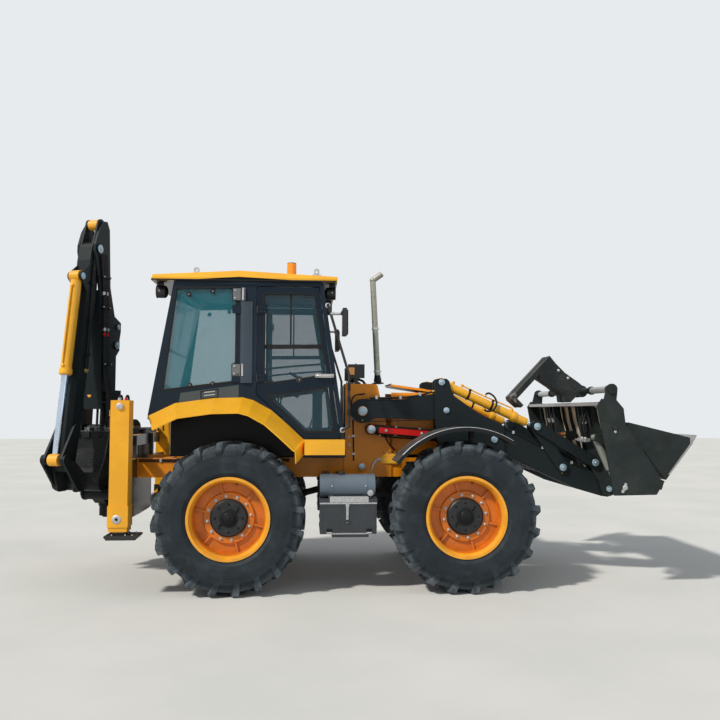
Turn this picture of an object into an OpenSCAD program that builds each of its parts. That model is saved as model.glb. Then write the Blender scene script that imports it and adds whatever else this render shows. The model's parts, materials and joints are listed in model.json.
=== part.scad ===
// Backhoe loader with four equal steered wheels, a clam bucket with folding forks in front
// and a side-shift digging arm, folded for the road, behind.
// X runs forward, Y to the machine's left, Z up, with the ground at zero.
// Places along X are counted from the middle of the wheelbase.

/* [Wheels] */
// Distance between the two axles
wheelbase = 2190; // [2100:10:2300]
// Distance between the middles of the left and right tyres
track = 1890; // [1860:10:1960]
// Outer diameter of a tyre over its lugs
tyre_d = 1404; // [1300:4:1440]
// Width of a tyre
tyre_w = 430; // [380:10:450]
// Height of a lug above the tyre's body
lug_h = 32; // [20:2:40]
// Number of lugs on each half of the tread
lug_count = 20; // [14:1:24]
// Diameter of the rim's flange
rim_d = 762; // [700:2:780]
// Width of the rim over its flanges
rim_w = 380; // [340:10:400]
// Diameter of the hub housing in the middle of a wheel
hub_d = 340; // [300:10:380]

/* [Axles] */
// Distance of a steering pivot inside the middle of its tyre
pivot_inset = 205; // [190:5:225]
// Height of a knuckle between the two arms of its fork
knuckle_h = 230; // [200:10:260]
// Diameter of an axle tube beside the gear housing
axle_tube_d = 170; // [140:10:200]
// Diameter of the gear housing in the middle of an axle
gear_housing_d = 380; // [320:10:440]

/* [Frame] */
// Width over the two side rails of the frame
frame_w = 780; // [740:10:790]
// Thickness of a side rail
rail_t = 70; // [50:5:90]
// Height of the underside of the side rails
rail_z = 1020; // [1000:5:1050]
// Height of a side rail
rail_h = 190; // [160:10:220]

/* [Cab] */
// Width of the cab over its side walls
cab_w = 1600; // [1500:10:1640]
// Thickness of the cab's side walls and doors
cab_wall = 56; // [45:1:70]
// Height of the roof's ridge
roof_top = 3042; // [3000:2:3080]
// Width of the roof cap
roof_w = 1660; // [1560:10:1700]
// Thickness of the window panes
glass_t = 6; // [4:1:10]
// Gap between a door and the frame around it
door_gap = 8; // [6:1:14]

/* [Fenders] */
// Distance of a fender's outer edge from the middle of the machine
fender_y = 1140; // [1100:10:1160]
// Thickness of a fender's sheet
fender_t = 10; // [6:1:14]

/* [Loader] */
// Distance of a loader arm's middle plane from the middle of the machine
arm_y = 470; // [462:2:474]
// Thickness of a loader arm
arm_t = 90; // [70:2:96]
// Diameter of the arms' pivot pins
arm_pin_d = 70; // [55:5:80]
// Diameter of a lift cylinder's barrel
lift_barrel_d = 100; // [80:5:120]
// Diameter of a tilt cylinder's barrel
tilt_barrel_d = 90; // [70:5:100]
// Width of the loader bucket
bucket_w = 2350; // [2200:10:2400]
// Thickness of the loader bucket's side plates
bucket_t = 24; // [16:2:30]

/* [Digging arm] */
// Distance of the slewing axis behind the middle of the wheelbase
slew_back = 2540; // [2520:5:2600]
// Distance of the slewing axis to the left of the middle of the machine
slew_left = 350; // [250:10:450]
// Angle of the folded arm from straight back towards the right side
slew_angle = 70; // [50:1:85]
// Width of the boom's upper part
boom_w = 220; // [180:10:240]
// Width of the boom's foot
boom_foot_w = 360; // [320:10:400]
// Width of the dipper
dipper_w = 156; // [130:2:160]
// Width of the digging bucket
dig_bucket_w = 560; // [400:20:600]
// Diameter of the digging arm's cylinder barrels
dig_barrel_d = 110; // [90:5:125]

/* [Stabilizers] */
// Distance of a stabilizer's middle plane from the middle of the machine
leg_y = 1060; // [1040:5:1080]
// Side length of a stabilizer's inner leg along the machine
leg_x = 116; // [100:2:124]
// Height of a raised foot's underside above the ground
foot_z = 530; // [500:10:600]

/* [Hidden] */
$fn = 48;

yellow = [0.96, 0.66, 0.10];
orange = [0.80, 0.42, 0.06];
charcoal = [0.16, 0.17, 0.18];
black = [0.07, 0.07, 0.08];
rubber = [0.20, 0.21, 0.23];
slate = [0.25, 0.29, 0.35];
silver = [0.75, 0.76, 0.78];
glass = [0.35, 0.62, 0.68, 0.5];

// The middle of the vehicle's length lies this far ahead of the middle of the wheelbase
overall_shift = 150.6;
// Clearance of a pin or rod in its bore, and between parts that move beside each other
pin_gap = 0.06;
side_gap = 5;
// Clearance of a piece that only sits against its neighbour
seat_gap = 0.3;

wheel_r = tyre_d / 2;
rear_x = -wheelbase / 2;
front_x = wheelbase / 2;
tyre_y = track / 2;
pivot_y = tyre_y - pivot_inset;
frame_y = frame_w / 2;
rail_top = rail_z + rail_h;
cab_outer = cab_w / 2;
cab_inner = cab_outer - cab_wall;

// Puts a piece into the vehicle's frame and gives it its colour
module piece(paint) {
  translate([-overall_shift, 0, 0]) color(paint) children();
}

// Repeats a piece on the right side
module both_sides() {
  for (side = [0, 1]) mirror([0, side, 0]) children();
}

// A plate with an outline in X and Z, from y0 to y1
module plate(y0, y1) {
  translate([0, y1, 0]) rotate([90, 0, 0]) linear_extrude(y1 - y0) children();
}

// A round bar along Y
module bar(at, r, y0, y1) {
  translate([at[0], y0, at[1]]) rotate([-90, 0, 0]) cylinder(h = y1 - y0, r = r);
}

// A box given by its low and its high corner
module block(low, high) {
  translate(low) cube(high - low);
}

function angle_to(a, b) = atan2(b[1] - a[1], b[0] - a[0]);
function reach(a, b) = norm(b - a);
function toward(a, b, part) = a + (b - a) * part;

// Moves children made along +X so that they start at a and point to b, in the X-Z plane
module along(a, b, y) {
  translate([a[0], y, a[1]]) rotate([0, -angle_to(a, b), 0]) children();
}

// A round bar along +X
module rod_x(r, x0, x1) {
  translate([x0, 0, 0]) rotate([0, 90, 0]) cylinder(h = x1 - x0, r = r);
}

// The barrel of a cylinder with an eye at its base, from the origin along +X
module barrel(r, rod_r, length, eye_r, pin_r, width) {
  difference() {
    union() {
      rod_x(r, eye_r * 0.8, length);
      rod_x(r + 7, length - 60, length - 8);
      rotate([90, 0, 0]) cylinder(h = width, r = eye_r, center = true);
    }
    rotate([90, 0, 0]) cylinder(h = 2 * width, r = pin_r + pin_gap, center = true);
    rod_x(rod_r + pin_gap, eye_r + 40, length + 1);
  }
}

// The rod of a cylinder: its eye sits at the origin and the rod points back along -X.
// The eye holds its own pin, flush with its faces, because this pivot is the open one.
module ram(rod_r, length, eye_r, width) {
  rod_x(rod_r, -length, -eye_r * 0.5);
  rotate([90, 0, 0]) cylinder(h = width, r = eye_r, center = true);
}

// An outline round two circles, as a tapered bar with round ends
module link(a, ra, b, rb) {
  turn = angle_to(a, b) - 90;
  lean = asin((ra - rb) / reach(a, b));
  translate(a) circle(ra);
  translate(b) circle(rb);
  polygon([
    a + ra * [cos(turn + lean), sin(turn + lean)], b + rb * [cos(turn + lean), sin(turn + lean)],
    b - rb * [cos(turn - lean), sin(turn - lean)], a - ra * [cos(turn - lean), sin(turn - lean)]]);
}

// Pivots of the loader, in X and Z
arm_pivot = [170, 1684];
lift_base = [256, 1500];
lift_eye = [1500, 1400];
tilt_base = [967, 1973];
lever_top = [1933, 1530];
lever_pivot = [2199, 1118];
hitch_top = [2525, 1168];
bucket_pivot = [2671, 901];
clam_pivot = [2495, 1535];
fork_shaft = [2475, 1892];

// Places across the loader: the arm, the levers beside it and the links beside those
arm_in = arm_y - arm_t / 2;
arm_out = arm_y + arm_t / 2;
lever_t = 25;
lever_in = arm_in - side_gap - lever_t;
lever_out = arm_out + side_gap;
link_in = lever_in - side_gap - lever_t;
link_out = lever_out + lever_t + side_gap;
// Half the width of the arm's knee, which is hollow round the lift cylinder, and its wall
knee_half = 72;
knee_wall = 15;
eye_w = arm_t - 10;
lift_pin_r = 30;
tilt_pin_r = 26;
lift_rod_r = 30;
tilt_rod_r = 25;
lever_pin_r = 28;

// Pivots of the digging arm, outward from the slewing axis and up
foot_pivot = [150, 800];
boom_tip = [400, 3380];
boom_ram_base = [60, 1330];
boom_ram_eye = [60, 2390];
dipper_ram_base = [40, 2590];
dipper_ram_eye = [330, 3655];
bucket_ram_base = [620, 3060];
bucket_ram_eye = [880, 1200];
tip_pivot = [700, 1500];
dig_pivot = [735, 1130];
dig_ear = [678, 917.5];
// The line of the bucket's cylinder, which the dipper's faces follow
function ram_line(z) = toward(bucket_ram_base, bucket_ram_eye, (bucket_ram_base[1] - z)
  / (bucket_ram_base[1] - bucket_ram_eye[1]))[0];
dig_pin_r = 30;
dig_rod_r = 35;
dig_eye_w = 110;
boom_plate_t = 25;
kingpost_r = 90;
kingpost_pin_r = 45;
lug_low = 560;
lug_high = 1130;
lug_t = 100;

module chassis_frame() piece(orange) {
  both_sides() {
    block([-2110, frame_y - rail_t, rail_z], [1690, frame_y, rail_top]);
    // Tower that carries the loader arm
    plate(frame_y - rail_t, frame_y + 14)
      polygon([[-12, rail_z], [470, rail_z], [470, 1300], [400, 1640], [330, 1945], [300, 1960], [-12, 1960]]);
    for (pin = [[arm_pivot, arm_pin_d / 2], [lift_base, lift_pin_r]]) {
      bar(pin[0], pin[1], frame_y, arm_out + 12);
      bar(pin[0], pin[1] + 14, arm_out + seat_gap, arm_out + 12);
    }
    bar([169, 1125], 34, frame_y, frame_y + 40);
    // Tie-down eye beside the nose
    difference() {
      plate(260, 290) link([1712, 940], 60, tie_eye, 2 * tie_bore_r);
      bar(tie_eye, tie_bore_r, 200, 300);
    }
    // Ear for the hinge pin of the bonnet
    for (y = [175, 235])
      plate(y, y + 20) polygon([[1700, 1180], [1700, 1240], [1655, 1236], [1640, 1215], [1655, 1196]]);
    bar(bonnet_hinge, bonnet_pin_r, 175, 255);
  }
  // Members across the frame
  for (x = [-1900, -620, 300, 1560])
    block([x, -frame_y + rail_t, rail_z + 20], [x + 90, frame_y - rail_t, rail_top - 20]);
  // Saddles over the two axles
  for (x = [rear_x, front_x])
    block([x - 90, -frame_y + rail_t, wheel_r + saddle_z], [x + 90, frame_y - rail_t, rail_z + 30]);
  // Nose plate in front of the radiator
  block([1690, -380, 800], [1720, 380, 1240]);
  // Cowl between the towers, in front of the windscreen
  block([0, -frame_y + rail_t, 1936], [320, frame_y - rail_t, 1960]);
  block([0, -frame_y + rail_t, rail_top], [24, frame_y - rail_t, 1936]);
}
tie_bore_r = 20;
tie_eye = [1780, 960];
bonnet_hinge = [1655, 1215];
bonnet_pin_r = 12;
saddle_z = gear_housing_d / 2 + 10;

module rear_frame() piece(yellow) {
  box_in = leg_y - 85;
  for (z = beam_z) block([-2150, -box_in, z], [-2110, box_in, z + beam_h]);
  both_sides() {
    difference() {
      block([leg_back - 25, box_in, 600], [leg_front + 25, leg_y + 85, 1777]);
      // The leg slides in wear pads at the mouth and runs clear above them
      block([leg_back - seat_gap, leg_y - leg_half - seat_gap, 599],
        [leg_front + seat_gap, leg_y + leg_half + seat_gap, 1752]);
      block([leg_back - side_gap, leg_y - leg_half - side_gap, 760],
        [leg_front + side_gap, leg_y + leg_half + side_gap, 1752]);
    }
    // Collar round the mouth of the box
    difference() {
      block([leg_back - 33, box_in - 8, 640], [leg_front + 33, leg_y + 93, 830]);
      block([leg_back - 25, box_in, 630], [leg_front + 25, leg_y + 85, 840]);
    }
    bar([leg_x_mid, 1723], 32, leg_y + 85, leg_y + 97);
    // Gusset from the box to the rail
    block([-2110, frame_y, rail_z], [-2070, box_in, rail_top]);
    block([-2110, frame_y, rail_top], [-2070, frame_y + 40, beam_z[1] + beam_h]);
  }
  block([-2110, -frame_y - 40, beam_z[0]], [-2090, frame_y + 40, rail_z]);
}
leg_x_mid = -2072;
leg_back = leg_x_mid - leg_x / 2;
leg_front = leg_x_mid + leg_x / 2;
leg_half = 60;
beam_z = [640, 1330];
beam_h = 110;

module stabilizer_leg() {
  block([leg_back, leg_y - leg_half, foot_z + 40], [leg_front, leg_y + leg_half, 1650]);
  // Foot with turned-up ends
  plate(leg_y - 115, leg_y + 115) polygon([
    [leg_back - 60, foot_z + 30], [leg_back - 35, foot_z], [leg_front + 105, foot_z],
    [leg_front + 130, foot_z + 30], [leg_front + 120, foot_z + 40], [leg_back - 50, foot_z + 40]]);
}

module engine_block() piece(black) {
  block([700, -290, rail_z + 60], [1430, 290, 1590]);
  both_sides() block([800, 290, rail_z + 60], [1300, frame_y - rail_t, rail_z + 130]);
}

module axle(x) {
  fork_low = knuckle_h / 2 + side_gap;
  // The tube ends before the knuckle turns, inside the root of the fork
  tube_end = pivot_y - 120;
  fork_root = pivot_y - 180;
  difference() {
    union() {
      translate([x, 0, wheel_r]) rotate([-90, 0, 0]) rotate_extrude() polygon([
        [0, -tube_end], [axle_tube_d / 2 - 8, -tube_end], [axle_tube_d / 2, -260],
        [gear_housing_d / 2, -110], [gear_housing_d / 2 + 8, 0], [gear_housing_d / 2, 110],
        [axle_tube_d / 2, 260], [axle_tube_d / 2 - 8, tube_end], [0, tube_end]]);
      // Pad under the frame's saddle
      block([x - 80, -90, wheel_r], [x + 80, 90, wheel_r + saddle_z]);
      both_sides() {
        block([x - fork_half, fork_root, wheel_r - fork_low - fork_t],
          [x + fork_half, pivot_y - 112, wheel_r + fork_low + fork_t]);
        for (low = [-fork_low - fork_t, fork_low])
          translate([0, 0, wheel_r + low]) {
            block([x - fork_half, fork_root, 0], [x + fork_half, pivot_y, fork_t]);
            translate([x, pivot_y, 0]) cylinder(h = fork_t, r = fork_half);
          }
      }
    }
    both_sides() translate([x, pivot_y, wheel_r - knuckle_h]) cylinder(h = 2 * knuckle_h, r = king_pin_r + pin_gap);
  }
}
king_pin_r = 30;
// Half the width of a fork's arms, and their thickness
fork_half = 70;
fork_t = 38;

module axles() piece(black) {
  axle(rear_x);
  axle(front_x);
}

module knuckle(x) {
  translate([x, pivot_y, wheel_r]) {
    translate([0, 0, -knuckle_h / 2]) cylinder(h = knuckle_h, r = 100);
    translate([0, 0, -knuckle_h / 2 - side_gap - fork_t - 4])
      cylinder(h = knuckle_h + 2 * (side_gap + fork_t + 4), r = king_pin_r);
    rotate([-90, 0, 0]) cylinder(h = pivot_inset + 30, r = spindle_r);
    // Steering arm
    block([-150, -70, -40], [-60, -30, 0]);
    // Boss of the mudguard's post on a front knuckle
    if (x > 0) block([60, -80, -60], [guard_post, -20, 60]);
  }
}
spindle_r = 70;

// Mudguard over a front wheel, carried by a post on the knuckle
module mudguard() {
  rear_end = [-642, 500];
  front_end = [462, 662];
  translate([front_x, 0, wheel_r]) {
    plate(guard_in, guard_in + guard_w) difference() {
      circle(guard_r, $fn = 96);
      circle(guard_r - 10, $fn = 96);
      polygon([[0, 0], 3 * rear_end, [-2500, -2500], [2500, -2500], 3 * front_end]);
    }
    // Turned-down outer lip
    plate(guard_in + guard_w - 8, guard_in + guard_w) difference() {
      circle(guard_r, $fn = 96);
      circle(guard_r - 34, $fn = 96);
      polygon([[0, 0], 3 * rear_end, [-2500, -2500], [2500, -2500], 3 * front_end]);
    }
    block([guard_post, pivot_y - 80, -60], [guard_post + 36, pivot_y - 20, 60]);
    block([guard_post, pivot_y - 80, -60], [guard_post + 36, pivot_y - 62, guard_r - 100]);
    block([guard_post, pivot_y - 80, guard_r - 118], [guard_post + 36, guard_in + 80, guard_r - 22]);
  }
}
guard_r = 830;
guard_post = 112;
guard_in = tyre_y - tyre_w / 2 - 28;
guard_w = tyre_w + 18;

module tyre(x) {
  w = tyre_w / 2;
  body_r = wheel_r - lug_h;
  bead_r = rim_d / 2 - 22;
  translate([x, tyre_y, wheel_r]) rotate([-90, 0, 0]) {
    rotate_extrude($fn = 96) polygon([
      [bead_r, -rim_w / 2 + 12.3], [rim_d / 2 + 6, -rim_w / 2 + 10.3], [rim_d / 2 + 40, -w + 8],
      [rim_d / 2 + 130, -w], [body_r - 90, -w + 6], [body_r - 20, -w + 40], [body_r, -w + 90],
      [body_r + 4, 0], [body_r, w - 90],
      [body_r - 20, w - 40], [body_r - 90, w - 6], [rim_d / 2 + 130, w], [rim_d / 2 + 40, w - 8],
      [rim_d / 2 + 6, rim_w / 2 - 10.3], [bead_r, rim_w / 2 - 12.3]]);
    intersection() {
      rotate_extrude($fn = 96) polygon([
        [body_r - 110, -w + 8], [body_r - 70, -w + 4], [wheel_r - 14, -w + 16], [wheel_r - 4, -w + 34],
        [wheel_r, -w + 90], [wheel_r, w - 90], [wheel_r - 4, w - 34], [wheel_r - 14, w - 16],
        [body_r - 70, w - 4], [body_r - 110, w - 8]]);
      for (half = [0, 1], i = [0:lug_count - 1])
        rotate([0, 0, 90 + (i + half / 2) * 360 / lug_count])
          mirror([0, 0, half])
            translate([body_r - 100, -24, -14]) rotate([22, 0, 0]) cube([200, 48, 300]);
    }
  }
}

module rim(x) {
  w = rim_w / 2;
  flange_r = rim_d / 2;
  seat_r = flange_r - 22 - seat_gap;
  well_r = flange_r - 44;
  translate([x, tyre_y, wheel_r]) rotate([-90, 0, 0]) {
    difference() {
      union() {
        rotate_extrude($fn = 96) polygon([
          [flange_r - 24, -w], [flange_r, -w], [flange_r, -w + 10], [seat_r, -w + 12], [well_r, -w + 70],
          [well_r, w - 70], [seat_r, w - 12], [flange_r, w - 10], [flange_r, w], [flange_r - 24, w],
          [well_r - 12, w - 70], [well_r - 12, -w + 70]]);
        // Disc, and the hub housing that stands out of it
        rotate_extrude($fn = 96) polygon([
          [0, -80], [hub_d / 2 - 30, -80], [hub_d / 2, 20], [well_r - 6, 40], [well_r - 6, 56],
          [hub_d / 2 + 70, 62], [hub_d / 2 + 60, 84], [hub_d / 2, 84], [hub_d / 2, 100],
          [hub_d / 2 - 14, 114], [0, 114]]);
        // Ribs of the disc
        for (i = [0:5])
          rotate([0, 0, i * 60 + 15])
            translate([hub_d / 2 + 50, -8, 45]) cube([well_r - hub_d / 2 - 54, 16, 34]);
      }
      translate([0, 0, -pivot_inset - 1]) cylinder(h = pivot_inset + 36, r = spindle_r + pin_gap);
    }
  }
}

bonnet_outline = [[480, 1240], [480, 1962], [900, 1900], [1130, 1822], [1300, 1728], [1560, 1578], [1640, 1500],
  [1640, 1240]];
bonnet_half = 330;
sheet = 12;

module bonnet() piece(orange) {
  difference() {
    intersection() {
      plate(-bonnet_half, bonnet_half) polygon(bonnet_outline);
      translate([400, 0, 0]) rotate([90, 0, 90]) linear_extrude(1400) polygon([
        [-bonnet_half, 1200], [bonnet_half, 1200], [bonnet_half, 1850], [bonnet_half - 70, 1990],
        [70 - bonnet_half, 1990], [-bonnet_half, 1850]]);
    }
    plate(sheet - bonnet_half, bonnet_half - sheet) polygon([
      [400, 1200], [400, 1940], [480, 1940], [900, 1878], [1124, 1802], [1292, 1708], [1550, 1560], [1628, 1488],
      [1628, 1200]]);
  }
  // Hinge ears at the front
  both_sides() difference() {
    plate(198, 232) polygon([[1600, 1260], [1628, 1260], [1672, 1230], [1672, 1200], [1640, 1198], [1600, 1240]]);
    bar(bonnet_hinge, bonnet_pin_r + pin_gap, 190, 240);
  }
}

module grille() piece(black) {
  difference() {
    block([1640, -290, 1290], [1668, 290, 1480]);
    for (i = [0:4]) block([1650, -270, 1312 + i * 34], [1669, 270, 1330 + i * 34]);
  }
}

// Lower edge of the cab's side over the wheel, and the line of the fender on it
arch_line = [[-1895, 1600], [-1640, 1715], [-1283, 1760], [-1000, 1768], [-896, 1738], [-724, 1640], [-571, 1512],
  [-440, 1375], [-440, 1270]];
roof_line = [[-1670, 2930], [-1045, 2973], [-235, 2930]];
cab_outline = concat(arch_line, [[-12, 1270], [-20, 1415], [-235, 2930], [-1045, 2973], [-1670, 2930],
  [-1895, 1640]]);
door_outline = [[-870, 1845], [-410, 1423], [-70, 1423], [-277, 2880], [-870, 2880]];
quarter_outline = [[-1776, 1868], [-1064, 1960], [-1064, 2880], [-1654, 2868]];
upper_pane = [[-860, 1880], [-130, 1985], [-277, 2870], [-860, 2870]];
lower_pane = [[-868, 1860], [-425, 1440], [-80, 1440], [-135, 1965]];
pane_y = cab_outer - 30;

module cab_frame() piece(slate) {
  both_sides() {
    plate(cab_inner, cab_outer) difference() {
      polygon(cab_outline);
      offset(delta = door_gap) polygon(door_outline);
      polygon(quarter_outline);
    }
    // Inner arch over the rear wheel, and the wall between it and the floor
    plate(tub_half, cab_inner) polygon(concat([for (i = [0:len(arch_line) - 2]) arch_line[i]],
      [[-440, 1250], [-428, 1250]], [for (i = [len(arch_line) - 2:-1:0]) arch_line[i] + arch_t]));
    plate(tub_half - 12, tub_half)
      polygon(concat([[-1700, 1240], [-1700, 1650]], [for (i = [1:len(arch_line) - 2]) arch_line[i] + arch_t],
        [[-428, 1240]]));
    // Pillar hinges of the quarter window
    for (z = [1960, 2620]) block([-1110, cab_outer, z], [-990, cab_outer + 12, z + 80]);
  }
  // Headers, sills and floor across the cab
  block([-1668, -cab_inner, 2850], [-1590, cab_inner, 2930]);
  block([-330, -cab_inner, 2850], [-250, cab_inner, 2930]);
  block([-1885, -cab_inner, 1660], [-1700, cab_inner, 1752]);
  block([-130, -cab_inner, 1270], [-30, cab_inner, 1420]);
  block([-1700, -tub_half, 1240], [-428, tub_half, 1270]);
  block([-440, -cab_outer, 1240], [-12, cab_outer, 1270]);
  block([-1712, -tub_half, 1240], [-1700, tub_half, 1700]);
  // Mounts on the frame
  for (x = [-1600, -300]) both_sides() block([x, frame_y - rail_t, rail_top], [x + 100, frame_y, 1240]);
}
tub_half = 600;
arch_t = [8, 14];

module cab_roof() piece(yellow) {
  intersection() {
    plate(-roof_w / 2, roof_w / 2) polygon([
      [-1880, 2930], [-1670, 2930], [-1045, 2973], [-235, 2930], [-100, 2930], [-95, 2985],
      [-1045, roof_top], [-1870, 2990]]);
    translate([-2000, 0, 0]) rotate([90, 0, 90]) linear_extrude(2000) polygon([
      [-roof_w / 2, 2900], [roof_w / 2, 2900], [roof_w / 2, 2965], [roof_w / 2 - 60, roof_top + 10],
      [-roof_w / 2 + 60, roof_top + 10], [-roof_w / 2, 2965]]);
  }
}

module cab_glass() piece(glass) {
  both_sides() plate(pane_y, pane_y + glass_t) offset(delta = -seat_gap) polygon(quarter_outline);
  // Windscreen
  along([-60, 1421], [-262, 2849], 0) block([0, seat_gap - cab_inner, 0], [1430, cab_inner - seat_gap, glass_t]);
  // Rear window
  along([-1846, 1754], [-1640, 2849], 0) block([0, seat_gap - cab_inner, -glass_t], [1105, cab_inner - seat_gap, 0]);
}

module door() {
  plate(cab_inner, cab_outer) difference() {
    polygon(door_outline);
    offset(delta = -48) polygon(upper_pane);
    offset(delta = -38) polygon(lower_pane);
  }
  // Outer handle
  block([-310, cab_outer, 2005], [-130, cab_outer + 10, 2040]);
  // Hinge leaves on the pillar side
  for (z = [1960, 2620]) block([-866, cab_outer, z], [-780, cab_outer + 10, z + 80]);
}

module door_glass() {
  plate(pane_y, pane_y + glass_t) {
    offset(delta = -48 - seat_gap) polygon(upper_pane);
    offset(delta = -38 - seat_gap) polygon(lower_pane);
  }
}

// Top line of the fender at the cab's side
fender_line = [[-1890, 1634], [-1640, 1756], [-1283, 1806], [-1000, 1812], [-896, 1784], [-724, 1688], [-571, 1554],
  [-425, 1418], [-400, 1404], [-392, 1280]];
fender_taper = 0.87;
fender_low = [[-1771, 1512], [-1569, 1619], [-1259, 1662], [-1012, 1668], [-922, 1643], [-772, 1560], [-639, 1443],
  [-512, 1325]];

module fenders() piece(yellow) {
  both_sides() {
    translate([rear_x, cab_outer + seat_gap, wheel_r]) mirror([0, 1, 0]) rotate([90, 0, 0])
      linear_extrude(fender_y - cab_outer - seat_gap, scale = fender_taper)
        polygon([for (i = [0:2 * len(fender_line) - 1])
          i < len(fender_line) ? fender_line[i] - [rear_x, wheel_r]
            : (fender_line[2 * len(fender_line) - 1 - i] - [rear_x, wheel_r]) * (1 - fender_t / 1000)]);
    // Sill box in front of the fender, under the door
    block([-408, cab_outer + seat_gap, 1272], [-30, cab_outer + 200, 1412]);
  }
}

module operator_station() piece(black) {
  // Seat stand
  block([-1050, -200, 1270], [-750, 200, 1620]);
  // Steering column and dashboard
  block([-330, -180, 1270], [-230, 180, 1900]);
  translate([-420, 0, 1985]) rotate([0, 30, 0]) {
    difference() {
      cylinder(h = 24, r = 190);
      translate([0, 0, -1]) cylinder(h = 26, r = 166);
    }
    block([-180, -14, 2], [180, 14, 20]);
    translate([0, 0, -180]) cylinder(h = 190, r = 26);
  }
  // Rear control stand with its levers
  block([-1560, -260, 1270], [-1440, 260, 1700]);
  both_sides() for (y = [90, 180]) translate([-1500, y, 1700]) cylinder(h = 190, r = 9);
}

module seat_cushions() piece(slate) {
  block([-1080, -230, 1620 + seat_gap], [-620, 230, 1740]);
  block([-1150, -230, 1740 + seat_gap], [-1030, 230, 2260]);
}

module side_boxes() piece(charcoal) {
  both_sides() {
    // Tank with its saddles, on a step over the tool box
    translate([0, 900, 980]) rod_x(108, -262, 256);
    for (x = [-180, 140]) block([x, 830, 868], [x + 50, 970, 900]);
    block([-262, 700, 836], [270, 1040, 868]);
    block([-262, 710, 548], [265, 1040, 830]);
    block([-150, 720, 520], [190, 1050, 548]);
    block([-250, 720, 830], [250, 800, 836]);
    // Brackets on the frame's rail
    for (x = [-230, -80]) {
      block([x, frame_y, rail_z], [x + 60, 760, rail_z + 60]);
      block([x, 700, 868], [x + 60, 760, rail_z]);
    }
  }
}

module exhaust() piece(silver) {
  foot = [342, 1962];
  bend = [290, 3044];
  tip = [385, 3112];
  difference() {
    union() {
      along(foot, bend, -exhaust_y) rod_x(30, -8, reach(foot, bend));
      along(bend, tip, -exhaust_y) rod_x(30, 0, reach(bend, tip));
      translate([bend[0], -exhaust_y, bend[1]]) sphere(33);
    }
    along(bend, tip, -exhaust_y) rod_x(26, 0, reach(bend, tip) + 1);
    block([200, -500, 1900], [500, 0, 1960 + seat_gap]);
  }
}
exhaust_y = 300;

// Height of the roof's front slope, with the gap of a seated piece
function roof_at(x) = roof_top - (x + 1045) * (roof_top - 2985) / 950 + seat_gap;

module lamps() piece(silver) {
  both_sides() {
    // Work lamps under the roof
    for (lamp = [[-1860, 1], [-115, -1]]) {
      translate([lamp[0], 620, 2850]) rod_x(62, min(0, lamp[1] * 80), max(0, lamp[1] * 80));
      block([lamp[0] + min(0, lamp[1] * 60), 600, 2900], [lamp[0] + max(0, lamp[1] * 60), 640, 2930]);
    }
    // Road lamps on the towers
    block([30, 345, 2020], [190, 410, 2160]);
    block([90, 360, 1960], [130, 395, 2020]);
  }
  // Beacon
  translate([-554, -300, 3024]) cylinder(h = 51, r = 55);
  plate(-350, -250) polygon([[-609, roof_at(-609)], [-499, roof_at(-499)], [-499, 3026], [-609, 3026]]);
  translate([-554, -300, 3075]) cylinder(h = 137, r = 46);
}

module mirrors() piece(black) {
  both_sides() {
    // Grab rail from the front pillar's head to its foot
    for (run = [[[-190, 2706], [15, 2030]], [[15, 2030], [15, 1540]], [[15, 1540], [-45, 1500]]])
      along(run[0], run[1], cab_outer + 50) rod_x(rail_bar_r, 0, reach(run[0], run[1]));
    for (knee = [[15, 2030], [15, 1540]]) translate([knee[0], cab_outer + 50, knee[1]]) sphere(rail_bar_r + 2);
    for (end = [[-190, 2706], [-45, 1500]]) bar(end, rail_bar_r, cab_outer, cab_outer + 50 + rail_bar_r);
    // Mirror on its arm
    translate([-60, cab_outer + 50, 2620]) rotate([-90, 0, 0]) cylinder(h = 140, r = 11);
    translate([-140, cab_outer + 50, 2620]) rod_x(11, -20, 90);
    block([-50, 880, 2397], [-15, 1070, 2648]);
  }
}
rail_bar_r = 13;

knee_outline = [[900, 1592], [895, 1985], [920, 2010], [1020, 2010], [1045, 1985], [1075, 1850], [1340, 1662],
  [1560, 1562], [1600, 1530], [1600, 1245], [1080, 1330], [950, 1350], [915, 1400]];

module loader_arm() {
  difference() {
    union() {
      plate(arm_in, arm_out) {
        polygon([[170, 1804], [560, 1802], [905, 1862], [920, 1592], [300, 1612], [200, 1567]]);
        translate(arm_pivot) circle(120);
        polygon([[1500, 1592], [2050, 1310], [2440, 1110], [2690, 986], [2745, 940], [2748, 860], [2671, 816],
          [2600, 826], [2330, 905], [1580, 1248]]);
      }
      plate(arm_y - knee_half, arm_y + knee_half) polygon(knee_outline);
      // Heads of the lift rod's pin and of the knee's second pin
      bar(lift_eye, 38, arm_y + knee_half, arm_y + knee_half + 9);
      bar([1013, 1691], 34, arm_y + knee_half, arm_y + knee_half + 9);
      bar(tilt_base, 36, arm_y + knee_half, arm_y + knee_half + 9);
    }
    // Room for the lift cylinder and, above, for the tilt cylinder's eye
    plate(arm_y - knee_half + knee_wall, arm_y + knee_half - knee_wall) {
      polygon([[800, 1552], [1570, 1474], [1570, 1200], [800, 1100]]);
      polygon([[800, 2100], [800, 1866], [1045, 1866], [1345, 1666], [1610, 1534], [1700, 2100]]);
    }
    bar(arm_pivot, arm_pin_d / 2 + pin_gap, 0, 1000);
    bar(lever_pivot, lever_pin_r + pin_gap, 0, 1000);
    bar(bucket_pivot, bucket_pin_r + pin_gap, 0, 1000);
  }
  bar(tilt_base, tilt_pin_r, arm_y - knee_half, arm_y + knee_half);
}
bucket_pin_r = 32;

module loader_arms() piece(charcoal) {
  both_sides() loader_arm();
  bar([1985, 1130], 65, -arm_in, arm_in);
}

module lift_cylinders() piece(black) {
  both_sides() along(lift_base, lift_eye, arm_y)
    barrel(lift_barrel_d / 2, lift_rod_r, 900, 55, lift_pin_r, eye_w);
}

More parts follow.
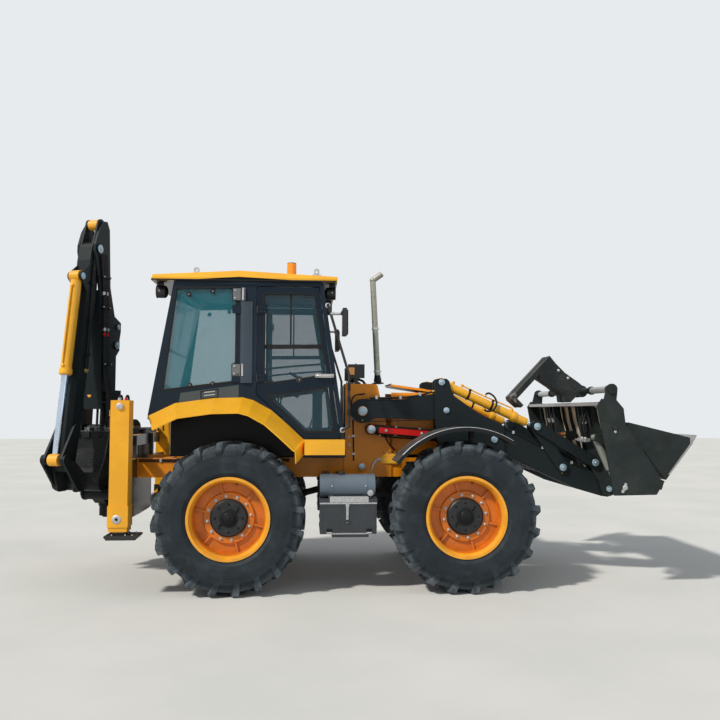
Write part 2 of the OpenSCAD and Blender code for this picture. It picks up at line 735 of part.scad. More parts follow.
module lift_rods() piece(silver) {
  both_sides() along(lift_base, lift_eye, arm_y) translate([reach(lift_base, lift_eye), 0, 0])
    ram(lift_rod_r, 900, 48, eye_w);
}

module tilt_cylinders() piece(yellow) {
  both_sides() along(tilt_base, lever_top, arm_y)
    barrel(tilt_barrel_d / 2, tilt_rod_r, 860, 48, tilt_pin_r, eye_w);
}

module tilt_rods() piece(silver) {
  both_sides() along(tilt_base, lever_top, arm_y) translate([reach(tilt_base, lever_top), 0, 0])
    ram(tilt_rod_r, 760, 48, eye_w);
}

module bucket_levers() piece(charcoal) {
  both_sides() {
    for (y = [lever_in, lever_out]) plate(y, y + lever_t) link(lever_top, 58, lever_pivot, 55);
    // The pin at the arm holds both plates; the links hang on stubs at the other end
    bar(lever_pivot, lever_pin_r, lever_in, lever_out + lever_t + 10);
    bar(lever_top, lever_pin_r, link_in - 10, lever_in);
    bar(lever_top, lever_pin_r, lever_out + lever_t, link_out + lever_t + 10);
    bar(lever_top, 42, link_out + lever_t + seat_gap, link_out + lever_t + 10);
    bar(lever_pivot, 42, lever_out + lever_t, lever_out + lever_t + 10);
  }
}

module bucket_links() piece(charcoal) {
  middle = toward(lever_top, hitch_top, 0.55);
  both_sides() {
    difference() {
      for (y = [link_in, link_out]) plate(y, y + lever_t) link(lever_top, 52, hitch_top, 52);
      bar(lever_top, lever_pin_r + pin_gap, 0, 1000);
    }
    bar(middle, 24, link_in, link_out + lever_t);
    bar(hitch_top, 42, link_out + lever_t, link_out + lever_t + 10);
  }
}

// Rear face of the bucket's back sheet, from its top rail to its lip
back_line = [[2475, 1770], [2500, 1600], [2555, 1400], [2615, 1215], [2700, 1070], [2800, 985], [2930, 950]];
back_t = 20;

module bucket_back() piece(charcoal) {
  half = bucket_w / 2;
  inner = half - bucket_t;
  both_sides() {
    plate(inner, half) polygon([[2335, 1724], [2385, 1799], [2507, 1799], [2582, 1711], [2600, 1548], [2622, 1548],
      [2918, 1052], [2962, 1030], [2881, 905], [2478, 899]]);
    // Hitch plates, which are also the ribs of the back
    for (y = [lever_in, lever_out]) plate(y, y + lever_t) {
      polygon(concat([[2400, 1770]], back_line, [[2750, 850], [2671, 826], [2610, 840], [2560, 1000], [2480, 1130],
        [2470, 1210], [2405, 1735]]));
      translate(hitch_top) circle(56);
      translate(bucket_pivot) circle(75);
    }
    bar(hitch_top, 28, lever_in, lever_out + lever_t);
    bar(bucket_pivot, bucket_pin_r, lever_in, lever_out + lever_t + 12);
    // Shaft ends and the pins of the clam
    plate(inner, half) link(fork_shaft, 52, [2452, 1770], 60);
    bar(fork_shaft, 44, half, half + 14);
    bar(clam_pivot, clam_pin_r, inner - 2 * side_gap - clam_t, half + 12);
    // Brackets of the clam cylinders
    for (y = [clam_cyl_y - 56, clam_cyl_y + 38]) plate(y, y + 18) {
      polygon([[2380, 1400], [2440, 1380], [2562, 1380], [2555, 1400], [2535, 1470], [2400, 1460]]);
      polygon([[2590, 930], [2650, 912], [2800, 985], [2700, 1070], [2670, 1040]]);
    }
    for (end = clam_cyl) bar(end, 18, clam_cyl_y - 56, clam_cyl_y + 56);
  }
  // Back sheet, its lower part as wide as the bucket
  plate(2 * side_gap + clam_t - inner, inner - 2 * side_gap - clam_t) polygon(concat(back_line,
    [for (i = [len(back_line) - 1:-1:0]) back_line[i] + back_t * [0.94, 0.34]]));
  plate(-half, half) polygon([[2800, 985], [2930, 950], [2952, 1012], [2936, 1028], [2916, 976], [2812, 1002]]);
  // Top rail and shaft
  plate(-half, half) polygon([[2345, 1738], [2478, 1738], [2495, 1770], [2345, 1770]]);
  bar(fork_shaft, fork_shaft_r, -half, half);
}
clam_t = 24;
clam_pin_r = 25;
clam_cyl = [[2415, 1428], [2622, 950]];
clam_cyl_y = 880;
fork_shaft_r = 30;

module bucket_clam() piece(charcoal) {
  outer = bucket_w / 2 - bucket_t - side_gap;
  both_sides() difference() {
    plate(outer - clam_t, outer) {
      polygon([[2495, 1580], [2640, 1580], [2773, 1548], [3284, 1425], [3046, 1117], [2990, 1046], [2970, 1058],
        [2640, 1500], [2495, 1490]]);
      translate(clam_pivot) circle(45);
    }
    bar(clam_pivot, clam_pin_r + pin_gap, 0, 2000);
  }
  // Floor up to the cutting edge
  plate(-outer, outer) polygon([[2968, 1054], [3246, 1398], [3262, 1384], [2988, 1040]]);
  plate(-outer, outer) polygon([[3236, 1404], [3290, 1462], [3300, 1456], [3250, 1380]]);
}

module clam_cylinders() piece(black) {
  both_sides() along(clam_cyl[0], clam_cyl[1], clam_cyl_y) {
    difference() {
      union() {
        rod_x(34, 30, 330);
        rod_x(20, 330, reach(clam_cyl[0], clam_cyl[1]) - 20);
        for (x = [0, reach(clam_cyl[0], clam_cyl[1])])
          translate([x, 0, 0]) rotate([90, 0, 0]) cylinder(h = 70, r = 32, center = true);
      }
      for (x = [0, reach(clam_cyl[0], clam_cyl[1])])
        translate([x, 0, 0]) rotate([90, 0, 0]) cylinder(h = 90, r = 18 + pin_gap, center = true);
    }
  }
}

module pallet_forks() piece(charcoal) {
  for (y = fork_places) difference() {
    plate(y, y + fork_w) {
      polygon([[2140, 2262], [2205, 2181], [2302, 2084], [2441, 1987], [2519, 1920], [2500, 1850], [2420, 1842],
        [2356, 1778], [2300, 1782], [2290, 1850], [2181, 1940], [2044, 2030], [2015, 2100], [2090, 2205]]);
      translate(fork_shaft) circle(56);
      // Tine with its bent tip
      polygon([[2092, 2208], [1735, 1835], [1742, 1800], [1832, 1722], [1856, 1748], [1790, 1815], [2044, 2082]]);
    }
    bar(fork_shaft, fork_shaft_r + pin_gap, -2000, 2000);
  }
}
fork_places = [-360, -210];
fork_w = 120;

// Puts a piece made outward along +X into its folded place behind the machine
module digging_place() {
  translate([-slew_back, slew_left, 0]) rotate([0, 0, 180 + slew_angle]) children();
}

module carriage() piece(black) {
  half = carriage_half;
  face = -2150 - seat_gap;
  difference() {
    union() {
      block([-2330, slew_left - half, 600], [face, slew_left + half, 1480]);
      // Hooks over and under the two beams
      block([-2230, slew_left - half, 1480], [-2085, slew_left + half, 1500]);
      block([-2104, slew_left - half, beam_z[1] + beam_h + side_gap], [-2085, slew_left + half, 1480]);
      for (z = [lug_low, lug_high]) {
        block([-slew_back, slew_left - 80, z], [-2330, slew_left + 80, z + lug_t]);
        translate([-slew_back, slew_left, z]) cylinder(h = lug_t, r = 80);
      }
    }
    for (z = [lug_low, lug_high])
      translate([-slew_back, slew_left, z - 1]) cylinder(h = lug_t + 2, r = kingpost_pin_r + pin_gap);
    // Window in the middle of the plate
    block([-2340, slew_left - 170, 780], [-2140, slew_left + 170, 1050]);
  }
}
carriage_half = 300;

module kingpost() piece(black) digging_place() {
  translate([0, 0, lug_low + lug_t + side_gap]) cylinder(h = lug_high - lug_low - lug_t - 2 * side_gap, r = kingpost_r);
  translate([0, 0, lug_low - 15]) cylinder(h = lug_high - lug_low + lug_t + 25, r = kingpost_pin_r);
  difference() {
    union() {
      plate(-70, 70) polygon([[0, 680], [120, 700], foot_pivot + [60, -20], foot_pivot + [60, 20], [130, 960],
        [60, 1100], [0, 1100]]);
      bar(foot_pivot, 60, -foot_half + boom_plate_t + side_gap, foot_half - boom_plate_t - side_gap);
    }
    bar(foot_pivot, dig_pin_r + 5 + pin_gap, -500, 500);
  }
  // Head above the upper lug, with the ears of the boom's cylinder
  translate([0, 0, lug_high + lug_t + side_gap]) cylinder(h = 15, r = 75);
  both_sides() plate(dig_eye_w / 2 + side_gap, dig_eye_w / 2 + 30) {
    polygon([[-60, lug_high + lug_t + side_gap + 10], [60, lug_high + lug_t + side_gap + 10], [105, 1310], [100, 1370],
      [20, 1370]]);
    translate(boom_ram_base) circle(50);
  }
  bar(boom_ram_base, dig_pin_r, -dig_eye_w / 2 - 30, dig_eye_w / 2 + 30);
}
foot_half = boom_foot_w / 2;

module boom() piece(charcoal) digging_place() {
  tip_half = boom_w / 2;
  both_sides() {
    // Wide plates of the foot
    plate(foot_half - boom_plate_t, foot_half) {
      polygon([[100, 760], [225, 790], [230, 1300], [290, 1700], [300, 1900], [60, 1900], [70, 1700], [95, 1300]]);
      translate(foot_pivot) circle(68);
    }
    // Narrow plates of the upper part
    plate(tip_half - boom_plate_t, tip_half) {
      polygon([[60, 1760], [300, 1760], [330, 2050], [345, 2600], [385, 3000], [475, 3350], [472, 3420], [420, 3560],
        [330, 3690], [270, 3700], [225, 3620], [190, 3000], [100, 2700], [-20, 2640], [-20, 2540], [0, 2460],
        [0, 2340], [60, 2270]]);
    }
    bar(boom_ram_eye, 46, tip_half, tip_half + 12);
    bar(boom_tip, 52, tip_half, tip_half + 12);
  }
  // Plates that join the wide foot to the narrow upper part
  for (z = [1760, 1880]) plate(-foot_half, foot_half) translate([148, z]) square([147, 20]);
  // Outer face plate
  plate(-tip_half, tip_half) polygon([[295, 1700], [325, 2050], [340, 2600], [375, 2950], [355, 2950], [320, 2600],
    [305, 2050], [275, 1700]]);
  bar([180, 1500], 40, -foot_half, foot_half);
  bar(foot_pivot, dig_pin_r + 5, -foot_half - 10, foot_half + 10);
  bar(boom_tip, dig_pin_r + 5, -tip_half, tip_half);
  bar(dipper_ram_base, dig_pin_r, -tip_half - 10, tip_half + 10);
}

module dipper() piece(charcoal) digging_place() {
  w = dipper_w / 2;
  difference() {
    union() {
      plate(-w, w) {
        polygon([[340, 3320], [480, 3400], [512, 3250], [ram_line(2900) - 88, 2900], [ram_line(1500) - 88, 1500],
          [dig_pivot[0] + 55, 1120], [dig_pivot[0] - 55, 1120], [ram_line(1500) - 230, 1500],
          [ram_line(2900) - 250, 2900], [365, 3200]]);
        translate(boom_tip) circle(78);
        translate(dig_pivot) circle(58);
      }
      // Head plates round the rod's eye
      both_sides() plate(dig_eye_w / 2 + side_gap, w) link(boom_tip, 78, dipper_ram_eye, 62);
      // Ears of the bucket's cylinder
      both_sides() plate(dig_eye_w / 2 + side_gap, w) {
        polygon([[ram_line(3150) - 100, 3200], [bucket_ram_base[0] + 20, 3100], [bucket_ram_base[0] + 20, 3020],
          [ram_line(2900) - 100, 2900]]);
        translate(bucket_ram_base) circle(48);
      }
    }
    bar(boom_tip, dig_pin_r + 5 + pin_gap, -500, 500);
    bar(dig_pivot, dig_pin_r + pin_gap, -500, 500);
    bar(tip_pivot, dig_pin_r + pin_gap, -500, 500);
  }
  bar(bucket_ram_base, dig_pin_r, -w, w);
  both_sides() bar(dipper_ram_eye, 46, w, w + 5);
}

ear_in = dipper_w / 2 + 7;
ear_t = 24;

module digging_bucket() piece(charcoal) digging_place() {
  h = dig_bucket_w / 2;
  // Outer line from the plate that carries the ears, round the bottom, to the lip
  shell = [[545, 1060], [572, 1000], [568, 930], [548, 886], [500, 868], [420, 930], [362, 1080], [345, 1290],
    [370, 1475]];
  // Curved shell
  plate(-h, h) polygon(concat(shell, [[386, 1470], [363, 1292], [379, 1086], [432, 943], [503, 887], [536, 900],
    [550, 934], [554, 992], [528, 1050]]));
  // Side plates
  both_sides() plate(h - 16, h) polygon(concat(shell, [[392, 1468], [430, 1330], [470, 1200]]));
  // Teeth
  for (i = [-2:2]) translate([0, i * (h - 40) / 2, 0])
    plate(-32, 32) polygon([[358, 1440], [392, 1440], [384, 1512], [374, 1512]]);
  // Ears that hang on the dipper and take the link
  both_sides() plate(ear_in, ear_in + ear_t) {
    link(dig_pivot, 52, dig_ear, 46);
    polygon([[540, 890], [600, 872], [690, 873], [785, 1118], [692, 1160], [550, 1040], [563, 1000], [559, 930]]);
  }
  bar(dig_pivot, dig_pin_r, -ear_in - ear_t, ear_in + ear_t);
}

module tipping_links() piece(charcoal) digging_place() {
  both_sides() {
    plate(ear_in, ear_in + ear_t) link(tip_pivot, 50, bucket_ram_eye, 52);
    bar(bucket_ram_eye, dig_pin_r, ear_in, ear_in + 2 * ear_t + side_gap + 10);
  }
  bar(tip_pivot, dig_pin_r, -ear_in - ear_t, ear_in + ear_t);
}

module bucket_link() piece(charcoal) digging_place() {
  both_sides() difference() {
    plate(ear_in + ear_t + side_gap, ear_in + 2 * ear_t + side_gap) link(bucket_ram_eye, 52, dig_ear, 36);
    bar(bucket_ram_eye, dig_pin_r + pin_gap, 0, 500);
  }
}

module digging_cylinder(base, eye, length) {
  digging_place() along(base, eye, 0) barrel(dig_barrel_d / 2, dig_rod_r, length, 60, dig_pin_r, dig_eye_w);
}

module digging_rod(base, eye, length) {
  digging_place() along(base, eye, 0) translate([reach(base, eye), 0, 0]) ram(dig_rod_r, length, 58, dig_eye_w);
}

module boom_cylinder() piece(black) digging_cylinder(boom_ram_base, boom_ram_eye, 950);
module boom_rod() piece(silver) digging_rod(boom_ram_base, boom_ram_eye, 940);
module dipper_cylinder() piece(yellow) digging_cylinder(dipper_ram_base, dipper_ram_eye, 610);
module dipper_rod() piece(silver) digging_rod(dipper_ram_base, dipper_ram_eye, 560);
module bucket_cylinder() piece(yellow) digging_cylinder(bucket_ram_base, bucket_ram_eye, 1030);
module bucket_rod() piece(silver) digging_rod(bucket_ram_base, bucket_ram_eye, 1010);

chassis_frame();
rear_frame();
engine_block();
axles();
cab_frame();
cab_roof();
cab_glass();
fenders();
operator_station();
seat_cushions();
side_boxes();
exhaust();
lamps();
mirrors();
piece(slate) door();  // door_left
piece(slate) mirror([0, 1, 0]) door();  // door_right
piece(glass) door_glass();  // door_glass_left
piece(glass) mirror([0, 1, 0]) door_glass();  // door_glass_right
bonnet();
grille();
piece(yellow) stabilizer_leg();  // stabilizer_leg_left
piece(yellow) mirror([0, 1, 0]) stabilizer_leg();  // stabilizer_leg_right
piece(black) knuckle(front_x);  // knuckle_front_left
piece(black) mirror([0, 1, 0]) knuckle(front_x);  // knuckle_front_right
piece(black) knuckle(rear_x);  // knuckle_rear_left
piece(black) mirror([0, 1, 0]) knuckle(rear_x);  // knuckle_rear_right
piece(black) mudguard();  // mudguard_left
piece(black) mirror([0, 1, 0]) mudguard();  // mudguard_right
piece(rubber) tyre(front_x);  // tyre_front_left
piece(rubber) mirror([0, 1, 0]) tyre(front_x);  // tyre_front_right
piece(rubber) tyre(rear_x);  // tyre_rear_left
piece(rubber) mirror([0, 1, 0]) tyre(rear_x);  // tyre_rear_right
piece(orange) rim(front_x);  // rim_front_left
piece(orange) mirror([0, 1, 0]) rim(front_x);  // rim_front_right
piece(orange) rim(rear_x);  // rim_rear_left
piece(orange) mirror([0, 1, 0]) rim(rear_x);  // rim_rear_right
loader_arms();
lift_cylinders();
lift_rods();
tilt_cylinders();
tilt_rods();
bucket_levers();
bucket_links();
bucket_back();
bucket_clam();
clam_cylinders();
pallet_forks();
carriage();
kingpost();
boom();
dipper();
digging_bucket();
tipping_links();
bucket_link();
boom_cylinder();
boom_rod();
dipper_cylinder();
dipper_rod();
bucket_cylinder();
bucket_rod();
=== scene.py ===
"""Looks of a backhoe loader with four equal steered wheels, a clam bucket and a folded digging arm."""

import json
import logging
import math
from dataclasses import dataclass
from enum import Enum
from typing import Callable, Sequence, Union

import bmesh
import bpy
from mathutils import Matrix, Vector


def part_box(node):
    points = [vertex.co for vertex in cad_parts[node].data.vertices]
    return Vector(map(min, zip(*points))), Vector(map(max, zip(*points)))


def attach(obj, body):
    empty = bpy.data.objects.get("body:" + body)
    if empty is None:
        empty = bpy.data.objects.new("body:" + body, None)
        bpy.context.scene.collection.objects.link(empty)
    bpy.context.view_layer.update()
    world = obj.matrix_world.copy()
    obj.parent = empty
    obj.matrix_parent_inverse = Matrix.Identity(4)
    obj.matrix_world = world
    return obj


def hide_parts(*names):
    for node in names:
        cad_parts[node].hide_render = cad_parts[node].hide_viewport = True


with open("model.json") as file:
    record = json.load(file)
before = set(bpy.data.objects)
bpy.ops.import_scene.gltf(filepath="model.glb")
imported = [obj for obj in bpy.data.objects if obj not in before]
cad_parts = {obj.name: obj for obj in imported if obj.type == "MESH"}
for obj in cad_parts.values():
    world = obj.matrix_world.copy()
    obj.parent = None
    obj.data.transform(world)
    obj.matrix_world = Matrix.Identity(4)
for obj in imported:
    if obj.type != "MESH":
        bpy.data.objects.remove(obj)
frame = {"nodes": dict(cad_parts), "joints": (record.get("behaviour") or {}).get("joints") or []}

LOG = logging.getLogger("backhoe")
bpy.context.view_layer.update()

Colour = tuple[float, float, float]
Place = Sequence[float]
Outline = Sequence[tuple[float, float]]
Number = Union[int, float, "Wire"]
Skin = Union[bpy.types.Material, None]


class Side(Enum):
    """The two sides of the machine."""

    LEFT = 1
    RIGHT = -1


class End(Enum):
    """The two axles of the machine."""

    FRONT = 1
    REAR = -1


def box_middle(node: str) -> Vector:
    """Middle of a node's box, in metres."""
    low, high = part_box(node)
    return (low + high) / 2


def machine_space(mirrored: bool = False) -> Matrix:
    """Frame in millimetres from the middle of the wheelbase: ahead, to the left, up.

    Args:
        mirrored: Whether the second coordinate counts to the right instead.

    Returns:
        The matrix from that frame to metres.
    """
    middle = (box_middle("tyre_front_left").x + box_middle("tyre_rear_left").x) / 2
    across = -0.001 if mirrored else 0.001
    return Matrix.Translation((middle, 0, 0)) @ Matrix.Diagonal((0.001, across, 0.001, 1))


def joint_of(name: str) -> dict:
    """The record's joint of that name."""
    return next(joint for joint in frame["joints"] if joint["name"] == name)


def digging_space() -> Matrix:
    """Frame of the folded digging arm in millimetres: outward from the slewing axis, sideways, up.

    Returns:
        The matrix from that frame to metres.
    """
    post = Vector(joint_of("slew")["pos_m"])
    side = Vector(joint_of("boom_lift")["axis"])
    out = Vector((side.y, -side.x, 0))
    turn = Matrix((out, side, (0, 0, 1))).transposed().to_4x4()
    return Matrix.Translation((post.x, post.y, 0)) @ turn @ Matrix.Scale(0.001, 4)


def wheel_space(end: End, side: Side) -> Matrix:
    """Frame of a wheel in millimetres: ahead, up, outward from the middle of the tyre.

    Args:
        end: The axle.
        side: The side of the machine.

    Returns:
        The matrix from that frame to metres.
    """
    middle = box_middle(f"rim_{end.name.lower()}_{side.name.lower()}")
    turn = Matrix(((1, 0, 0), (0, 0, 1), (0, side.value, 0))).transposed().to_4x4()
    return Matrix.Translation(middle) @ turn @ Matrix.Scale(0.001, 4)


def slope_space(low: tuple[float, float], high: tuple[float, float]) -> Matrix:
    """Frame of a plane that leans in the machine's length: up the plane, to the left, out of the plane.

    Args:
        low: Ahead and up of the plane's lower edge, in millimetres.
        high: The same of its upper edge.

    Returns:
        The matrix from that frame to metres.
    """
    along = Vector((high[0] - low[0], 0, high[1] - low[1])).normalized()
    out = Vector((along.z, 0, -along.x))
    turn = Matrix((along, (0, 1, 0), out)).transposed().to_4x4()
    return machine_space() @ Matrix.Translation((low[0], 0, low[1])) @ turn


HALF_WHEELBASE = 1095
AXLE_HEIGHT = 702
SHARP_ANGLE = math.radians(38)
LEAST_RADIUS = 0.05
NEAR = machine_space(mirrored=True)
FAR = machine_space()
BOTH = (FAR, NEAR)
ARM = digging_space()
SPACE_OF = {Side.LEFT: FAR, Side.RIGHT: NEAR}


def inset(outline: Outline, distance: float) -> list[tuple[float, float]]:
    """Moves every side of a closed outline inwards.

    Args:
        outline: Corners in order.
        distance: How far the sides move in, or out where it is negative.

    Returns:
        The new corners.
    """
    area = sum(a[0] * b[1] - b[0] * a[1] for a, b in zip(outline, [*outline[1:], outline[0]]))
    sign = 1 if area > 0 else -1
    found = []
    for before, here, after in zip([outline[-1], *outline[:-1]], outline, [*outline[1:], outline[0]]):
        first = Vector((here[0] - before[0], here[1] - before[1])).normalized()
        second = Vector((after[0] - here[0], after[1] - here[1])).normalized()
        lean = Vector((-first.y, first.x)) + Vector((-second.y, second.x))
        move = sign * distance * 2 / max(lean.length_squared, 0.2)
        found.append((here[0] + lean.x * move, here[1] + lean.y * move))
    return found


class Wire:
    """A socket that carries a number and takes part in sums and products."""

    def __init__(self, graph: "Graph", socket: bpy.types.NodeSocket) -> None:
        """Keeps the graph and the socket."""
        self.graph = graph
        self.socket = socket

    def _math(self, operation: str, first: Number, second: Number = 0.0, clamp: bool = False) -> "Wire":
        """Adds a Math node and returns its result.

        Args:
            operation: The node's operation.
            first: Its first value.
            second: Its second value.
            clamp: Whether the result stays from 0 to 1.

        Returns:
            The result.
        """
        node = self.graph.node("ShaderNodeMath", {"operation": operation, "use_clamp": clamp},
                               {0: first, 1: second})
        return Wire(self.graph, node.outputs[0])

    def __add__(self, other: Number) -> "Wire":
        """Sum."""
        return self._math("ADD", self, other)

    def __radd__(self, other: Number) -> "Wire":
        """Sum with a number on the left."""
        return self._math("ADD", other, self)

    def __sub__(self, other: Number) -> "Wire":
        """Difference."""
        return self._math("SUBTRACT", self, other)

    def __rsub__(self, other: Number) -> "Wire":
        """Difference from a number on the left."""
        return self._math("SUBTRACT", other, self)

    def __mul__(self, other: Number) -> "Wire":
        """Product."""
        return self._math("MULTIPLY", self, other)

    def __rmul__(self, other: Number) -> "Wire":
        """Product with a number on the left."""
        return self._math("MULTIPLY", other, self)

    def __truediv__(self, other: Number) -> "Wire":
        """Quotient."""
        return self._math("DIVIDE", self, other)

    def __pow__(self, other: Number) -> "Wire":
        """Power."""
        return self._math("POWER", self, other)

    def __gt__(self, other: Number) -> "Wire":
        """One where this is greater."""
        return self._math("GREATER_THAN", self, other)

    def __lt__(self, other: Number) -> "Wire":
        """One where this is less."""
        return self._math("LESS_THAN", self, other)

    def __abs__(self) -> "Wire":
        """Size without sign."""
        return self._math("ABSOLUTE", self)

    def sine(self) -> "Wire":
        """Sine of the number in radians."""
        return self._math("SINE", self)

    def both(self, other: "Wire") -> "Wire":
        """The smaller of two masks."""
        return self._math("MINIMUM", self, other)

    def either(self, other: "Wire") -> "Wire":
        """The larger of two masks."""
        return self._math("MAXIMUM", self, other)

    def ramp(self, low: float, high: float) -> "Wire":
        """Smooth rise from 0 at low to 1 at high.

        Args:
            low: Value that gives 0.
            high: Value that gives 1.

        Returns:
            The rise between them.
        """
        settings = {"interpolation_type": "SMOOTHSTEP"}
        node = self.graph.node("ShaderNodeMapRange", settings, {0: self, 1: low, 2: high})
        return Wire(self.graph, node.outputs[0])


class Graph:
    """The node tree of one material."""

    def __init__(self, name: str) -> None:
        """Makes an empty material with its own tree.

        Args:
            name: The material's name.
        """
        self.material = bpy.data.materials.new(name)
        self.material.use_nodes = True
        self.tree = self.material.node_tree
        self.tree.nodes.clear()
        coordinates = self.node("ShaderNodeTexCoord", {}, {})
        self.place = coordinates.outputs["Object"]
        parts = self.node("ShaderNodeSeparateXYZ", {}, {0: self.place})
        self.x, self.y, self.z = (Wire(self, parts.outputs[i]) for i in range(3))
        facing = self.node("ShaderNodeSeparateXYZ", {},
                           {0: self.node("ShaderNodeNewGeometry", {}, {}).outputs["Normal"]})
        self.up = Wire(self, facing.outputs[2])

    def node(self, kind: str, settings: dict, values: dict) -> bpy.types.Node:
        """Adds one node.

        Args:
            kind: The node's type.
            settings: Its own properties, set first.
            values: Numbers, colours, wires or sockets by input name or number.

        Returns:
            The node.
        """
        made = self.tree.nodes.new(kind)
        for key, value in settings.items():
            setattr(made, key, value)
        for key, value in values.items():
            target = made.inputs[key]
            if isinstance(value, Wire):
                self.tree.links.new(value.socket, target)
            elif isinstance(value, bpy.types.NodeSocket):
                self.tree.links.new(value, target)
            elif isinstance(value, (tuple, list)) and target.type == "RGBA" and len(value) == 3:
                target.default_value = (*value, 1.0)
            else:
                target.default_value = value
        return made

    def noise(self, scale: float, detail: float = 4.0, stretch: Place = (1, 1, 1),
              rough: float = 0.55) -> Wire:
        """Cloudy noise round a half.

        Args:
            scale: Size of its grain, in waves a metre.
            detail: Number of finer layers.
            stretch: How much more often it repeats along each axis.
            rough: Strength of the finer layers.

        Returns:
            The noise.
        """
        where = self.node("ShaderNodeMapping", {}, {"Vector": self.place, "Scale": tuple(stretch)})
        made = self.node(
            "ShaderNodeTexNoise", {},
            {"Vector": where.outputs[0], "Scale": scale, "Detail": detail, "Roughness": rough}
        )
        return Wire(self, made.outputs[0])

    def cells(self, scale: float) -> Wire:
        """Distance to the nearest of scattered points."""
        made = self.node("ShaderNodeTexVoronoi", {}, {"Vector": self.place, "Scale": scale})
        return Wire(self, made.outputs["Distance"])

    def mix(self, share: Number, first: object, second: object) -> bpy.types.NodeSocket:
        """Blends two colours.

        Args:
            share: How much of the second.
            first: Colour or colour socket.
            second: Colour or colour socket.

        Returns:
            The blended colour's socket.
        """
        made = self.node("ShaderNodeMix", {"data_type": "RGBA"}, {0: share, 6: first, 7: second})
        return made.outputs[2]

    def shades(self, share: Number, colour: Colour, dark: float, light: float) -> bpy.types.NodeSocket:
        """Blends a darker and a lighter shade of one colour."""
        return self.mix(share, shaded(colour, dark), shaded(colour, light))

    def bump(self, height: Wire, strength: float, distance: float) -> bpy.types.NodeSocket:
        """Bump from a height.

        Args:
            height: The height, from 0 to 1.
            strength: How strongly it shows.
            distance: Depth of its relief in metres.

        Returns:
            The normal's socket.
        """
        made = self.node("ShaderNodeBump", {}, {"Height": height, "Strength": strength, "Distance": distance})
        return made.outputs[0]

    def surface(self, values: dict) -> bpy.types.Material:
        """Ends the tree in a principled surface with those values.

        Args:
            values: Values and links of the shader's sockets.

        Returns:
            The material.
        """
        made = self.node("ShaderNodeBsdfPrincipled", {}, values)
        self.node("ShaderNodeOutputMaterial", {}, {"Surface": made.outputs[0]})
        return self.material


DUST: Colour = (0.36, 0.31, 0.24)
BARE_STEEL: Colour = (0.42, 0.42, 0.41)
# Gives a mask and the other colour painted there, which is painted shade for some regions and the part's own
# second colour for others
Region = Callable[[Graph], tuple[Wire, Colour]]


def shaded(colour: Colour, share: float) -> Colour:
    """The same hue, lighter or darker."""
    return (colour[0] * share, colour[1] * share, colour[2] * share)


def wheel_radius(graph: Graph) -> Wire:
    """Distance from the middle of the nearer wheel, seen from the side.

    Args:
        graph: The material's graph.

    Returns:
        The distance in metres.
    """
    ahead = abs(graph.x - FAR.translation.x) - HALF_WHEELBASE / 1000
    above = graph.z - AXLE_HEIGHT / 1000
    return (ahead * ahead + above * above) ** 0.5


@dataclass(frozen=True)
class Paint:
    """Sprayed enamel that weathers, chips and gathers dust low down and on top faces."""

    colour: Colour
    roughness: float = 0.34
    dust: float = 0.35
    chips: float = 0.3
    coat: float = 0.25
    gloss: float = 0.45

    def material(self, name: str, region: Region | None = None) -> bpy.types.Material:
        """Builds the finish.

        Args:
            name: The material's name.
            region: Gives a mask and the other colour painted there, which is painted shade for some regions
                and the part's own second colour for others.

        Returns:
            The material.
        """
        graph = Graph(name)
        cloud = graph.noise(1.7, 5)
        grain = graph.noise(34, 6)
        tone = graph.shades(cloud.ramp(0.35, 0.7), self.colour, 0.84, 1.08)
        if region:
            mask, other = region(graph)
            shade = graph.shades(cloud.ramp(0.35, 0.7), other, 0.8, 1.1)
            tone = graph.mix(mask, tone, shade)
        streak = graph.noise(7, 4, (5, 5, 0.35)).ramp(0.5, 0.78)
        low = graph.z.ramp(1.7, 0.3)
        gathered = graph.up.ramp(0.3, 0.95) * 0.8 + low * 0.75 + streak * 0.35
        settled = gathered * grain.ramp(0.32, 0.66) * self.dust
        dusty = graph.mix(settled.ramp(0.0, 1.0), tone, DUST)
        chip = (graph.noise(55, 3).ramp(0.66, 0.69) * graph.noise(3.1, 3).ramp(0.5, 0.66)) * self.chips
        worn = graph.mix(chip, dusty, shaded(BARE_STEEL, 0.45))
        scratch = graph.noise(90, 2, (1, 1, 12)).ramp(0.6, 0.72)
        rough = self.roughness + settled * 0.4 + grain * 0.1 + scratch * 0.06
        relief = graph.noise(240, 2) * 0.25 + cloud * 0.4 - chip * 0.8
        return graph.surface(
            {
                "Base Color": worn,
                "Roughness": rough,
                "Normal": graph.bump(relief, 0.16, 0.002),
                "Coat Weight": (1 - settled) * self.coat,
                "Coat Roughness": 0.12,
                "Specular IOR Level": self.gloss,
            }
        )


